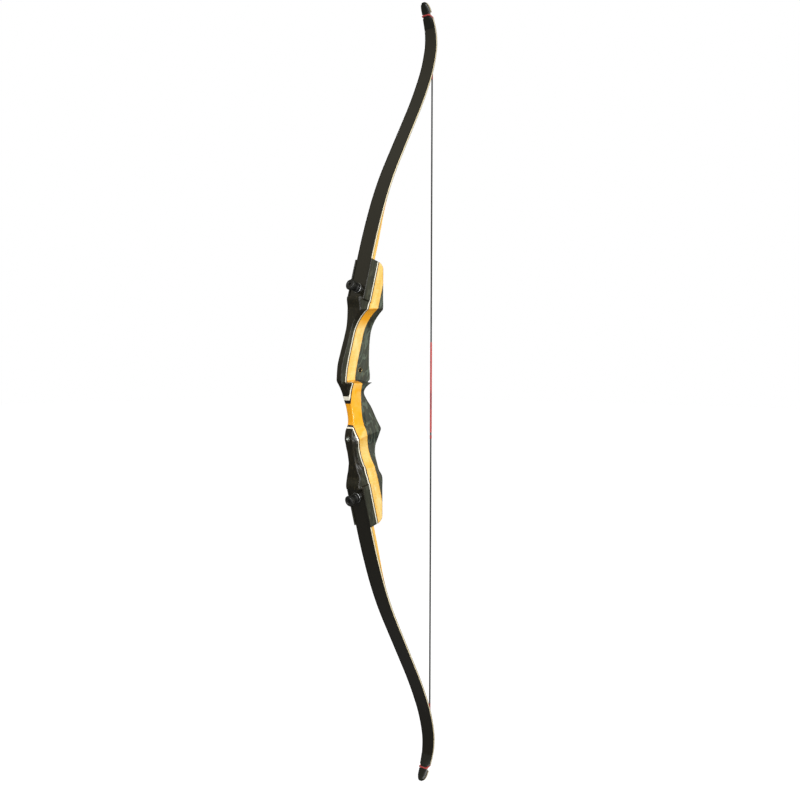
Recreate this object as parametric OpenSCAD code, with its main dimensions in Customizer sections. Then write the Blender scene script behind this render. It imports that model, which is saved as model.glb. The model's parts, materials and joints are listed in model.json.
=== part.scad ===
// Takedown recurve bow, strung, for a right-handed archer.
// +Z is up, -Y faces the target, +Y faces the archer and +X is the archer's left.
// The origin is the throat of the grip, on the plane that the limbs and string share.

/* [Riser] */
// Width of the riser at both limb pockets
riser_w = 43; // [41:1:50]
// Depth of the riser behind the throat, at both ends
end_rear = 36.5; // [34:0.5:44]
// How far the front stands ahead of the throat at the butt of each limb
step_front = 23; // [21:0.5:25]
// Radius of the rear corner at each end, seen from the side
end_round = 12; // [4:1:16]
// Height of each limb butt above or below the throat
butt_z = 173.6; // [168:0.1:182]
// How far each limb butt lies ahead of the throat
butt_front = 15.3; // [13.5:0.1:17]
// Lean of each limb pad away from the vertical, in degrees
pad_angle = 16; // [14:0.5:18]
// Length of each limb pocket along its pad
pocket_len = 73; // [66:1:76]
// How far the pocket's cheeks rise above the back of the limb
cheek_rise = 1.5; // [0:0.1:3]
// How far the cheeks reach past the butt of the limb
cheek_foot = 4; // [2:0.5:8]

/* [Grip and window] */
// Width of the grip at the throat
grip_w = 27; // [24:0.5:31]
// Width of the flat front of the grip
facet_w = 14.4; // [12:0.2:18]
// Width of the palm swell
swell_w = 33; // [29:0.5:37]
// How far the heel of the palm swell reaches behind the throat
heel_rear = 42.7; // [38:0.1:46]
// How far the front of the grip stands ahead of the throat, at the fingers
finger_front = 28.4; // [26:0.1:31]
// How far the shelf stands ahead of the throat
shelf_front = 48.5; // [46:0.5:51]
// Height of the arrow shelf above the throat
shelf_z = 22; // [20:0.5:24]
// Radius of the shelf's crown from side to side
shelf_crown = 40; // [30:1:90]
// Radius of the shelf's crown from front to rear
shelf_camber = 130; // [90:1:200]
// How far the window's wall is cut past the string's plane
past_centre = 3; // [0:0.5:5]
// Height of the flat wall of the sight window
window_h = 83; // [75:1:88]
// Radius of the scoop at the top of the window
window_r = 59; // [52:1:64]
// Rear of the riser at the sight window
window_rear = 23; // [20:0.5:28]
// Rear of the riser at the waist below the heel
waist_rear = 23; // [20:0.5:28]
// Width of the front edge at the waist below the grip
waist_front_w = 16; // [12:0.5:22]

/* [Riser laminations] */
// Radius of the laminations round the grip, at the middle of the white veneer
lam_r = 237; // [225:1:250]
// How far the middle of the white veneer lies ahead of the throat
white_front = 38.5; // [37.5:0.1:39.5]
// Thickness of each white veneer
white_t = 2; // [1:0.1:2.6]
// Thickness of each black veneer
black_t = 2; // [1:0.1:3]
// Thickness of the yellow core
core_t = 20.5; // [18:0.5:23]

/* [Limb] */
// Width of a limb at its butt
butt_w = 37; // [34:0.5:37.5]
// Width of a limb at the middle of its blade
blade_w = 35.4; // [33:0.1:37]
// Width of a limb where the recurve starts
recurve_w = 33.4; // [31:0.1:35]
// Width of a limb at the nock's shoulder
shoulder_w = 24; // [22:0.5:26]
// Width of a limb between the two nock cuts
neck_w = 14; // [12:0.5:16]
// Width of the rounded head past the nock
head_w = 21.5; // [19.5:0.5:23]
// Length of the straight run of a blade before its recurve
blade_run = 110; // [80:5:150]
// Thickness of a limb in its pocket
butt_t = 10; // [9:0.1:11]
// Thickness of the glass on the back
back_glass_t = 0.8; // [0.6:0.05:1.2]
// Thickness of the glass on the belly
belly_glass_t = 0.8; // [0.6:0.05:1.2]
// Thickness of the wooden core at the butt
core_butt_t = 2.7; // [2.2:0.1:3.4]
// Thickness of the wooden core at the tip
core_tip_t = 1.5; // [1.2:0.1:2.2]
// Length of the butt wedge before it starts to thin
wedge_flat = 92; // [88:1:110]
// Whole length of the butt wedge
wedge_len = 210; // [180:1:240]
// Thickness of the overlay at the tip
overlay_t = 3; // [2.6:0.1:3.6]
// Length of the overlay from the end of the limb
overlay_len = 50; // [44:1:60]
// Distance from the end of the limb to the nock
nock_len = 25; // [22:1:28]
// How deep the string's loop sits in the overlay
groove_t = 0.7; // [0.3:0.1:1]
// Distance from the butt to the axis on which the blade bends
flex_at = 81; // [80:0.5:83]

/* [Limb fittings] */
// Diameter of the limb bolt's shank
bolt_d = 7.9; // [6:0.1:9]
// Length of the shank below the washer
bolt_len = 27; // [22:1:29]
// Distance from the butt to the limb bolt
bolt_at = 17; // [15:0.5:22]
// Diameter of the limb bolt's knob
knob_d = 20; // [16:0.5:24]
// Height of the limb bolt's knob
knob_h = 20; // [17:0.5:23]
// Height of the grooved head of the knob
knob_head = 8; // [6:0.5:10]
// Diameter of the knob's neck
neck_d = 14.6; // [12:0.2:17]
// Diameter of the foot of the knob
foot_d = 17; // [15:0.5:19]
// Grooves round the knob
knob_grooves = 18; // [8:1:24]
// Width of each groove
groove_w = 2; // [1.4:0.1:2.4]
// Diameter of the washer
washer_d = 19; // [16:0.5:22]
// Thickness of the washer
washer_t = 2; // [1:0.1:2.5]
// Outer diameter of the threaded insert in the pad
insert_d = 12; // [11:0.5:13]
// Length of the threaded insert
insert_len = 19; // [17:0.5:20]
// Diameter of the alignment pin
pin_d = 6; // [4:0.5:8]
// Length of the alignment pin on each side of the pad
pin_half = 5; // [3:0.25:5.5]
// Distance from the butt to the alignment pin
pin_at = 48; // [40:1:60]

/* [Bushings] */
// Wall diameter of the threaded holes for accessories
thread_d = 6.9; // [5:0.1:8]
// Outer diameter of both bushings
bushing_d = 10; // [9:0.5:12]
// Length of the stabiliser bushing
stabiliser_len = 18; // [12:0.5:20]
// Height of the stabiliser bushing below the throat
stabiliser_z = 83; // [80:0.5:90]
// Height of the plunger bushing above the throat
plunger_z = 41; // [38:0.5:50]
// How far the plunger bushing lies ahead of the throat
plunger_front = 0.7; // [-3:0.1:4]

/* [String] */
// Diameter of the bundle of strands
strand_d = 2.8; // [2.4:0.1:3.2]
// Diameter over the end servings and loops
loop_d = 3.2; // [2.8:0.1:3.4]
// Diameter over the centre serving
serving_d = 4; // [3.6:0.1:4.6]
// Height of the top of the centre serving
serving_top = 95; // [70:1:120]
// Depth of the bottom of the centre serving below the throat
serving_low = 80; // [60:1:110]
// Length of the short serving below the centre serving
band_len = 7; // [4:1:12]
// Bare strands between the centre serving and the short one
band_gap = 5; // [3:1:8]
// Length of each end serving below the contact with the limb
end_serving_len = 72; // [40:1:110]
// Length of a string loop, from the nock to the throat of the loop
loop_len = 30; // [27:1:34]
// Length of each half of the lap at the nocking point
lap_half = 40; // [38:1:50]
// Bare length from the tail of one half to the full round of the other
tail_gap = 9; // [8.5:0.5:12]

/* [Clearances] */
// Gap beside the limb in its pocket, on each side
side_gap = 0.3; // [0.1:0.05:0.6]
// Gap between the limb butt and the end of its pocket
end_gap = 0.4; // [0.1:0.05:0.8]
// Gap round the glued-in inserts, bushings and pins
glue_gap = 0.05; // [0.02:0.01:0.08]
// Gap between the shank and its insert
thread_gap = 0.05; // [0.02:0.01:0.1]
// Gap round the shank in the limb and washer
shank_gap = 0.35; // [0.2:0.05:0.6]
// Gap between pieces that move past each other
run_gap = 0.3; // [0.25:0.05:0.4]

/* [Hidden] */
far = 400;

// Colours of the finished bow
black_wood = [0.13, 0.12, 0.10];
green_wood = [0.30, 0.34, 0.28];
yellow_wood = [0.95, 0.74, 0.30];
white_wood = [0.93, 0.90, 0.80];
cream_wood = [0.96, 0.90, 0.72];
black_glass = [0.08, 0.08, 0.08];
brass = [0.80, 0.65, 0.35];
steel = [0.70, 0.70, 0.72];
black_metal = [0.06, 0.06, 0.06];
string_black = [0.12, 0.10, 0.10];
string_red = [0.66, 0.22, 0.20];

// Riser sections from the lower end to the upper end. Each has its height, how far the
// front and the rear reach in Y, half the width of the front face, half the whole width,
// and the radii of the front and rear corners.
end_z = butt_z + 90;
lean_y = 90 * tan(pad_angle);
half_w = riser_w / 2;
front_half = half_w - 4;
throat = 0.2;
SECTIONS = [
    [-end_z, lean_y - step_front, end_rear, front_half, half_w, 3.5, 4],
    [-butt_z, -step_front, end_rear, front_half, half_w, 3.5, 5],
    [-153, -21, end_rear, front_half, half_w, 3, 6],
    [-140, -22.5, end_rear - 7.5, 12.5, half_w - 1.5, 2, 6],
    [-117, -25.5, waist_rear, waist_front_w / 2, 16, 2, 7],
    [-97, -30.5, waist_rear + 3, 9, 14.5, 2, 8],
    [-85, -33.6, heel_rear - 9, 11, 15, 2.5, 10],
    [-66, -32.4, heel_rear, 8.8, swell_w / 2, 2, 13],
    [-48, -finger_front - 1.3, heel_rear - 11.2, facet_w / 2, grip_w / 2 + 1.5, 2, 12.5],
    [-25, -finger_front - 5.7, 18.2, facet_w / 2 + 0.3, grip_w / 2 + 0.3, 2, 12.5],
    [-13, -38.7, 8, facet_w / 2 + 0.8, grip_w / 2, 2, 12.5],
    [0, -42.4, throat, facet_w / 2 + 1.8, grip_w / 2, 2, 12.5],
    [9, -45.5, 3.4, facet_w / 2 + 3.8, grip_w / 2 + 1.5, 2.5, 12.5],
    [16, shelf_front * -1 + 1.5, 12, 14.5, 16.5, 2.5, 12],
    [21, -shelf_front, 22, 16.5, 17.5, 2.5, 12],
    [26, -shelf_front, window_rear + 2.5, 16.8, 18.5, 2.5, 8],
    [50, -46, window_rear, 17, 19, 2.5, 6],
    [74, -38.5, window_rear, 17.2, 19, 2.5, 6],
    [98, -30, window_rear + 2, 17.5, 19.5, 2.5, 6],
    [122, -23.5, window_rear + 6.5, front_half, half_w - 1, 3, 6],
    [153, -21.2, end_rear, front_half, half_w, 3, 5],
    [butt_z, -step_front, end_rear, front_half, half_w, 3.5, 5],
    [end_z, lean_y - step_front, end_rear, front_half, half_w, 3.5, 4]
];
ring_step = 8;
upper_foot = -30;
lower_head = -38;
shelf_peak_y = -12;

// Arcs of a limb's back from butt to tip: length and turn in degrees
ARCS = [[84, 0], [96, 4.5], [95, 8.5], [blade_run, 0], [80, -6], [60, -12.5], [50, -26.5], [45, -12]];

// Sums and places that follow from the sizes above
function sum_to(i, k) = i <= 0 ? 0 : ARCS[i - 1][k] + sum_to(i - 1, k);
limb_len = sum_to(len(ARCS), 0);
nock_s = limb_len - nock_len;
bend_s = sum_to(2, 0);
run_s = sum_to(3, 0);
recurve_s = sum_to(5, 0);
curl_s = sum_to(6, 0);
butt_y = -butt_front;
flex_n = butt_t / 2;

// Offset of a stretch of arc, in Y and Z, that starts at angle a and turns by t over length l
function arc_step(a, l, t) = abs(t) < 0.001 ? [l * sin(a), l * cos(a)] :
    let(r = l / (t * PI / 180)) [r * (cos(a) - cos(a + t)), r * (sin(a + t) - sin(a))];
function arc_start(i) = i == 0 ? [butt_y, butt_z] :
    arc_start(i - 1) + arc_step(pad_angle + sum_to(i - 1, 1), ARCS[i - 1][0], ARCS[i - 1][1]);
function arc_index(s) = min([for (i = [0:len(ARCS) - 1])
    if (s <= sum_to(i + 1, 0) || i == len(ARCS) - 1) i]);
function angle_at(s) = let(i = arc_index(s), d = s - sum_to(i, 0))
    pad_angle + sum_to(i, 1) + ARCS[i][1] * d / ARCS[i][0];
function back_at(s) = let(i = arc_index(s), d = s - sum_to(i, 0))
    arc_start(i) + arc_step(pad_angle + sum_to(i, 1), d, ARCS[i][1] * d / ARCS[i][0]);
// Point at depth n below the back, measured square to it
function under(s, n) = let(a = angle_at(s)) back_at(s) + n * [cos(a), -sin(a)];

// Depths of the glue lines below the back
function core_low(s) = back_glass_t + core_butt_t + (core_tip_t - core_butt_t) * s / limb_len;
function belly_low(s) = core_low(s) + belly_glass_t;
function wedge_low(s) = s <= wedge_flat ? butt_t :
    s >= wedge_len ? belly_low(s) :
    belly_low(s) + (butt_t - belly_low(s)) * (1 + cos(180 * (s - wedge_flat) / (wedge_len - wedge_flat))) / 2;

// The string leaves the belly where the back runs straight up
function level_s(i) = sum_to(i, 0) - ARCS[i][0] * (pad_angle + sum_to(i, 1)) / ARCS[i][1];
contact_s = level_s(6);
string_lift = loop_d / 2 + run_gap;
loop_depth = groove_t - overlay_t - string_lift;
contact = under(contact_s, belly_low(contact_s) + string_lift);
string_y = contact[0];
loop_top = under(nock_s, loop_depth);
string_end = contact[1] - 1;

// Riser body

function slope(i, k) = let(a = max(0, i - 1), b = min(len(SECTIONS) - 1, i + 1))
    (SECTIONS[b][k] - SECTIONS[a][k]) / (SECTIONS[b][0] - SECTIONS[a][0]);
function blend(z, k) =
    let(i = min([for (j = [0:len(SECTIONS) - 2]) if (z <= SECTIONS[j + 1][0]) j]),
        h = SECTIONS[i + 1][0] - SECTIONS[i][0], t = (z - SECTIONS[i][0]) / h)
    (2 * t * t * t - 3 * t * t + 1) * SECTIONS[i][k]
    + (t * t * t - 2 * t * t + t) * h * slope(i, k)
    + (3 * t * t - 2 * t * t * t) * SECTIONS[i + 1][k]
    + (t * t * t - t * t) * h * slope(i + 1, k);
function half_ring(z) =
    let(front = blend(z, 1), rear = blend(z, 2), flat = blend(z, 3), half = blend(z, 4),
        rf = blend(z, 5), rr = min(blend(z, 6), half - 0.5))
    concat([[0, front]],
        [for (q = [0:30:90]) [flat - rf + rf * sin(q), front + rf - rf * cos(q)]],
        [[half, max(front + rf + 4, rear - rr - (rear - front) * 0.35)]],
        [for (q = [0:22.5:90]) [half - rr + rr * cos(q), rear - rr + rr * sin(q)]],
        [[0, rear]]);
function ring(z) = let(h = half_ring(z)) concat([for (p = h) [p[0], p[1], z]],
    [for (i = [len(h) - 2:-1:1]) [-h[i][0], h[i][1], z]]);

// Skin through rings of equal count, closed at both ends
module skin(rings) {
    m = len(rings[0]);
    n = len(rings);
    polyhedron([for (r = rings) each r], concat([[for (i = [0:m - 1]) i]],
        [for (j = [0:n - 2]) for (i = [0:m - 1]) let(a = j * m + i, b = j * m + (i + 1) % m)
            each [[a, a + m, b + m], [a, b + m, b]]],
        [[for (i = [m - 1:-1:0]) (n - 1) * m + i]]), convexity = 8);
}

// Carved riser between two heights, before its cuts
module carved(low, high) {
    first = ring_step * ceil(low / ring_step + 0.2);
    between = [for (z = [first:ring_step:high - ring_step * 0.2]) ring(z)];
    skin(concat([ring(low)], between, [ring(high)]));
}

// Side view of both ends, with the rear corners rounded
module end_outline() {
    d = [sin(pad_angle), cos(pad_angle)];
    reach = ([butt_y, butt_z] + pocket_len * d) * d;
    cy = end_rear - end_round;
    cz = (reach - end_round - cy * d[0]) / d[1];
    arc = [for (q = [pad_angle:(90 - pad_angle) / 6:90.01])
        [cy + end_round * sin(q), cz + end_round * cos(q)]];
    upper = concat([[-90, (reach + 90 * d[0]) / d[1]]], arc);
    rotate([90, 0, 90]) linear_extrude(far, center = true)
        polygon(concat(upper, [for (i = [len(upper) - 1:-1:0]) [upper[i][0], -upper[i][1]]]));
}

// Places the children in a limb's own frame: Z along its pad, -Y out of its back
module limb_frame() {
    translate([0, butt_y, butt_z]) rotate([-pad_angle, 0, 0]) children();
}

module pocket_cut() {
    limb_frame() {
        translate([-far / 2, -far, 0]) cube([far, far - cheek_rise, far]);
        translate([-butt_w / 2 - side_gap, -far, -end_gap])
            cube([butt_w + 2 * side_gap, far + butt_t, far]);
    }
}

// Flat cheeks on both sides of a pocket, square to its pad at the foot
module cheeks() {
    foot = end_gap + cheek_foot;
    deep = cheek_rise + 2.4 * butt_t;
    limb_frame() translate([-half_w, -cheek_rise, -foot]) cube([riser_w, deep, 90 + foot]);
}

// Sight window, open towards the archer's left, over the crowned shelf
module window_cut() {
    wall_top = shelf_z + window_h;
    difference() {
        translate([-past_centre, -far / 2, shelf_z - 12]) cube([far, far, window_h + 12]);
        intersection() {
            translate([-past_centre, 0, shelf_z - shelf_crown]) rotate([90, 0, 0])
                cylinder(r = shelf_crown, h = far, center = true, $fn = 96);
            translate([0, shelf_peak_y, shelf_z - shelf_camber]) rotate([0, 90, 0])
                cylinder(r = shelf_camber, h = far, center = true, $fn = 96);
        }
    }
    intersection() {
        translate([window_r - past_centre, 0, wall_top]) rotate([90, 0, 0])
            cylinder(r = window_r, h = far, center = true, $fn = 96);
        translate([-past_centre - 1, -far / 2, wall_top - 0.01]) cube([far, far, far]);
    }
}

// Riser between two heights, with its window and both pockets
module shaped(low, high) {
    difference() {
        intersection() {
            union() {
                carved(low, high);
                if (high > butt_z) cheeks();
                if (low < -butt_z) mirror([0, 0, 1]) cheeks();
            }
            end_outline();
        }
        window_cut();
        pocket_cut();
        mirror([0, 0, 1]) pocket_cut();
    }
}

// Side view of a glue line at depth d behind the middle of the white veneer
function glue_line(d) =
    let(r = lam_r - d, c = lam_r - white_front, e = far, n = 8, a = pad_angle)
    concat([[c - r * cos(a) + e * sin(a), -r * sin(a) - e * cos(a)]],
        [for (i = [-n:n]) [c - r * cos(a * i / n), r * sin(a * i / n)]],
        [[c - r * cos(a) + e * sin(a), r * sin(a) + e * cos(a)]]);
module lamination(front, rear) {
    a = glue_line(front);
    b = glue_line(rear);
    rotate([90, 0, 90]) linear_extrude(far, center = true)
        polygon(concat(a, [for (i = [len(b) - 1:-1:0]) b[i]]));
}

// Holes for the insert and pin of the upper pocket
module pocket_holes() {
    limb_frame() {
        translate([0, butt_t - 1, bolt_at]) rotate([-90, 0, 0])
            cylinder(d = insert_d + 2 * glue_gap, h = insert_len + 1 + glue_gap, $fn = 64);
        translate([0, butt_t - 1, pin_at]) rotate([-90, 0, 0])
            cylinder(d = pin_d + 2 * glue_gap, h = pin_half + 1 + glue_gap, $fn = 48);
    }
}
stabiliser_y = blend(-stabiliser_z, 1);
module stabiliser_hole() {
    translate([0, stabiliser_y - 10, -stabiliser_z]) rotate([-90, 0, 0])
        cylinder(d = bushing_d + 2 * glue_gap, h = stabiliser_len + 10 + glue_gap, $fn = 64);
}
module riser_holes() {
    pocket_holes();
    mirror([0, 0, 1]) pocket_holes();
    stabiliser_hole();
}

module riser_core() {
    color(yellow_wood) difference() {
        intersection() {
            shaped(-end_z, end_z);
            lamination(white_t / 2 + black_t, white_t / 2 + black_t + core_t);
        }
        riser_holes();
    }
}

module riser_grip_block() {
    color(green_wood) difference() {
        intersection() {
            shaped(-end_z + 30, end_z - 30);
            lamination(white_t / 2 + black_t + core_t, 120);
        }
        translate([0, -plunger_front, plunger_z]) rotate([0, 90, 0])
            cylinder(d = bushing_d + 2 * glue_gap, h = far, center = true, $fn = 64);
        riser_holes();
    }
}

// One of the upper layers ahead of the core, and its lower twin
module upper_layer(front, rear) {
    difference() {
        intersection() {
            shaped(upper_foot, end_z);
            lamination(front, rear);
        }
        pocket_holes();
    }
}
module lower_layer(front, rear) {
    difference() {
        intersection() {
            shaped(-end_z, lower_head);
            lamination(front, rear);
        }
        mirror([0, 0, 1]) pocket_holes();
        stabiliser_hole();
    }
}
module riser_front_upper() { color(black_wood) upper_layer(-60, -white_t / 2); }
module riser_front_lower() { color(black_wood) lower_layer(-60, -white_t / 2); }
module white_veneer_upper() { color(white_wood) upper_layer(-white_t / 2, white_t / 2); }
module white_veneer_lower() { color(white_wood) lower_layer(-white_t / 2, white_t / 2); }
module black_veneer_upper() { color(black_wood) upper_layer(white_t / 2, white_t / 2 + black_t); }
module black_veneer_lower() { color(black_wood) lower_layer(white_t / 2, white_t / 2 + black_t); }

// Fittings of one pocket

module insert() {
    color(brass) limb_frame() translate([0, butt_t, bolt_at]) rotate([-90, 0, 0]) difference() {
        cylinder(d = insert_d, h = insert_len, $fn = 64);
        translate([0, 0, -1]) cylinder(d = bolt_d + 2 * thread_gap, h = insert_len + 2, $fn = 64);
    }
}

module pin() {
    color(steel) limb_frame() translate([0, butt_t - pin_half, pin_at]) rotate([-90, 0, 0])
        rotate_extrude($fn = 48) polygon([[0, 0], [pin_d / 2 - 0.5, 0], [pin_d / 2, 0.5],
            [pin_d / 2, 2 * pin_half - 0.5], [pin_d / 2 - 0.5, 2 * pin_half], [0, 2 * pin_half]]);
}

module washer() {
    color(steel) limb_frame() translate([0, 0, bolt_at]) rotate([90, 0, 0]) difference() {
        rotate_extrude($fn = 96) polygon([[0, 0], [washer_d / 2, 0], [washer_d / 2, washer_t - 0.4],
            [washer_d / 2 - 0.4, washer_t], [0, washer_t]]);
        translate([0, 0, -1]) cylinder(d = bolt_d + 2 * shank_gap, h = washer_t + 2, $fn = 64);
    }
}

// Knob and shank in one piece, with a foot, a neck and a grooved head with a dished face
module bolt() {
    seat = washer_t + run_gap;
    rim = 1.5;
    under_head = knob_h - knob_head;
    color(black_metal) limb_frame() translate([0, 0, bolt_at]) rotate([90, 0, 0]) {
        difference() {
            translate([0, 0, seat]) rotate_extrude($fn = 96) polygon([[0, 0],
                [foot_d / 2 - 0.8, 0], [foot_d / 2, 0.8], [foot_d / 2, under_head / 3],
                [neck_d / 2, under_head / 3 + 1], [neck_d / 2, under_head - 0.5],
                [knob_d / 2 - rim, under_head], [knob_d / 2, under_head + rim],
                [knob_d / 2, knob_h - rim], [knob_d / 2 - rim, knob_h], [knob_d / 4 + 1, knob_h],
                [knob_d / 4, knob_h - 1], [0, knob_h - 1]]);
            for (i = [0:knob_grooves - 1]) rotate([0, 0, 360 * i / knob_grooves])
                translate([knob_d / 2 + 0.35, 0, seat + under_head - 1])
                    cylinder(d = groove_w, h = knob_h, $fn = 16);
        }
        translate([0, 0, -bolt_len]) cylinder(d = bolt_d, h = bolt_len + seat, $fn = 64);
    }
}

module stabiliser_bushing() {
    color(brass) translate([0, stabiliser_y, -stabiliser_z]) rotate([-90, 0, 0]) difference() {
        cylinder(d = bushing_d, h = stabiliser_len, $fn = 64);
        translate([0, 0, -1]) cylinder(d = thread_d, h = stabiliser_len + 2, $fn = 64);
    }
}

// The bushing is as long as the wall that it goes through
function wall_far(z) = blend(z, 4);
module plunger_bushing() {
    x = wall_far(plunger_z) - 0.4;
    color(brass) translate([-x, -plunger_front, plunger_z]) rotate([0, 90, 0]) difference() {
        cylinder(d = bushing_d, h = x - past_centre, $fn = 64);
        translate([0, 0, -1]) cylinder(d = thread_d, h = x + 2, $fn = 64);
    }
}

// Limb layers

// Half of a limb's width at distance s from the butt
shoulder_s = nock_s - 6;
head_s = nock_s + 6;
WIDTHS = [[0, butt_w], [bend_s, butt_w - 0.4], [run_s, blade_w], [recurve_s, recurve_w],
    [curl_s, recurve_w - 2.4], [(curl_s + shoulder_s) / 2, recurve_w - 5], [shoulder_s, shoulder_w]];
function width_at(s) = lookup(s, WIDTHS);

// Distances from the butt at which the layers are drawn, the same for all of them
long_step = 15;
fine_step = 6;
overlay_s = limb_len - overlay_len;
function steps(a, b, step) = [for (i = [0:ceil((b - a) / step)]) a + (b - a) * i / ceil((b - a) / step)];
function later(list) = [for (i = [1:len(list) - 1]) list[i]];
STOPS = concat(steps(0, wedge_len, long_step), later(steps(wedge_len, recurve_s, long_step)),
    later(steps(recurve_s, overlay_s, fine_step)), later(steps(overlay_s, limb_len, fine_step)));

// Front view of a limb, with its shoulders and rounded head
module limb_outline() {
    start = -20;
    stops = concat(steps(0, recurve_s, 2 * long_step), later(steps(recurve_s, shoulder_s, 2 * fine_step)));
    head = [for (q = [0:15:90]) let(s = head_s + (limb_len - head_s) * sin(q))
        [head_w / 2 * (0.25 + 0.75 * cos(q)), back_at(s)[1]]];
    side = concat([[butt_w / 2, butt_z + start]], [for (s = stops) [width_at(s) / 2, back_at(s)[1]]],
        head, [[0, back_at(limb_len)[1] + 0.4]]);
    rotate([90, 0, 0]) linear_extrude(2 * far, center = true)
        polygon(concat(side, [for (i = [len(side) - 1:-1:0]) [-side[i][0], side[i][1]]]));
}

// Fan-shaped nock cuts, wide enough for the loop as it swings with the string
module nock_cuts() {
    w = loop_d / 2 + run_gap;
    p = back_at(nock_s);
    a = angle_at(nock_s);
    open_up = 8;
    open_down = -44;
    reach = 20;
    d = loop_depth;
    fan = [[d - 4, w], [d, w], [d + reach * cos(open_up), reach * sin(open_up) + w],
        [d + reach * cos(open_down), reach * sin(open_down) - w * 1.4], [d, -w * 1.2], [d - 4, -w]];
    for (side = [-1, 1]) translate([0, p[0], p[1]]) rotate([-a, 0, 0])
        translate([side * (neck_w / 2 + 25), 0, 0]) rotate([90, 0, 90])
            linear_extrude(50, center = true) polygon(fan);
    translate([0, loop_top[0], loop_top[1]]) rotate([0, 90, 0])
        cylinder(r = w, h = 60, center = true, $fn = 48);
}

// Solid between two depths below the back, from butt to tip
module layer(top, low, from, to) {
    stops = [for (s = STOPS) if (s > from - 0.01 && s < to + 0.01) s];
    rotate([90, 0, 90]) linear_extrude(60, center = true) polygon(concat(
        [for (s = stops) under(s, top(s))],
        [for (i = [len(stops) - 1:-1:0]) under(stops[i], low(stops[i]))]));
}

// The knuckle about which a blade bends, and the room that the butt leaves for it
module knuckle(r) {
    limb_frame() translate([0, flex_n, flex_at]) rotate([0, 90, 0])
        cylinder(r = r, h = far, center = true, $fn = 96);
}
module past_flex() {
    limb_frame() translate([-far / 2, -far / 2, flex_at]) cube([far, far, 2 * far]);
}
module blade_part() {
    difference() {
        intersection() {
            children();
            limb_outline();
            union() {
                knuckle(flex_n);
                past_flex();
            }
        }
        nock_cuts();
    }
}
module butt_part() {
    difference() {
        intersection() {
            children();
            limb_outline();
        }
        past_flex();
        knuckle(flex_n + run_gap);
        limb_frame() translate([0, 0, bolt_at]) rotate([90, 0, 0])
            cylinder(d = bolt_d + 2 * shank_gap, h = far, center = true, $fn = 64);
        limb_frame() translate([0, butt_t - pin_half - 0.3, pin_at]) rotate([-90, 0, 0])
            cylinder(d = pin_d + 2 * glue_gap, h = far, $fn = 48);
    }
}

module back_glass_layer() { layer(function(s) 0, function(s) back_glass_t, 0, limb_len); }
module core_layer() { layer(function(s) back_glass_t, function(s) core_low(s), 0, limb_len); }
module belly_glass_layer() { layer(function(s) core_low(s), function(s) belly_low(s), 0, limb_len); }
module wedge_layer() { layer(function(s) belly_low(s), function(s) wedge_low(s), 0, wedge_len); }

module back_glass() { color(black_glass) blade_part() back_glass_layer(); }
module core_wood() { color(cream_wood) blade_part() core_layer(); }
module belly_glass() { color(black_glass) blade_part() belly_glass_layer(); }
module wedge() { color(yellow_wood) blade_part() wedge_layer(); }
module back_glass_butt() { color(black_glass) butt_part() back_glass_layer(); }
module core_butt() { color(cream_wood) butt_part() core_layer(); }
module belly_glass_butt() { color(black_glass) butt_part() belly_glass_layer(); }
module wedge_butt() { color(yellow_wood) butt_part() wedge_layer(); }

// Depth of the overlay's top, thinning at its lower edge
function overlay_top(s) = -overlay_t * min(1, 0.15 + 0.85 * (s - overlay_s) / 20);
module tip_overlay() {
    color(black_glass) blade_part()
        layer(function(s) overlay_top(s), function(s) 0, overlay_s, limb_len);
}

// String

// Round tube along a list of points, one diameter at each, with frames that never twist
function unit(v) = v / norm(v);
function heading(path, i) = unit(path[min(i + 1, len(path) - 1)] - path[max(i - 1, 0)]);
function square_to(v, t) = unit(v - (v * t) * t);
module tube(path, sizes, sides, first) {
    frames = [for (i = 0, v = square_to(first, heading(path, 0)); i < len(path); i = i + 1,
        v = i < len(path) ? square_to(v, heading(path, i)) : v) [v, cross(heading(path, i), v)]];
    skin([for (i = [0:len(path) - 1]) [for (k = [0:sides - 1]) let(q = 360 * k / sides)
        path[i] + sizes[i] / 2 * (cos(q) * frames[i][0] + sin(q) * frames[i][1])]]);
}

// Point over the belly at distance x from the middle, at s from the butt
function on_belly(x, s, lift) = let(p = under(s, belly_low(s) + lift)) [x, p[0], p[1]];
leg_x = neck_w / 2 + loop_d / 2 + run_gap;
fork_s = nock_s - loop_len;
fork_gap = 0.05;

// The two legs leave the fork side by side, pass through the nock cuts and meet over the back
module string_loop() {
    rise = loop_len - 8.4;
    fork_x = 0.85;
    spread = leg_x - fork_x;
    low_leg = [for (t = [0:0.2:1]) on_belly(fork_x + spread * (0.6 - 0.6 * cos(90 * t) + 0.4 * t),
        fork_s + fork_gap + rise * t, string_lift + 0.1)];
    high_leg = [on_belly(leg_x, nock_s - 5.4, -0.4),
        [leg_x, loop_top[0] + 1.9, loop_top[1] - 0.4],
        [leg_x - 1, loop_top[0] + 0.5, loop_top[1] - 0.1], [leg_x - 2.4, loop_top[0], loop_top[1]]];
    side = concat(low_leg, high_leg);
    n = len(side);
    leg_d = [for (i = [0:n - 1]) min(loop_d - 0.2, loop_d / 2 + 0.5 * i)];
    color(string_red) tube(concat(side, [[0, loop_top[0], loop_top[1]]],
        [for (i = [n - 1:-1:0]) [-side[i][0], side[i][1], side[i][2]]]),
        concat(leg_d, [loop_d - 0.2], [for (i = [n - 1:-1:0]) leg_d[i]]), 10, [0, 1, 0]);
}

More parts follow.
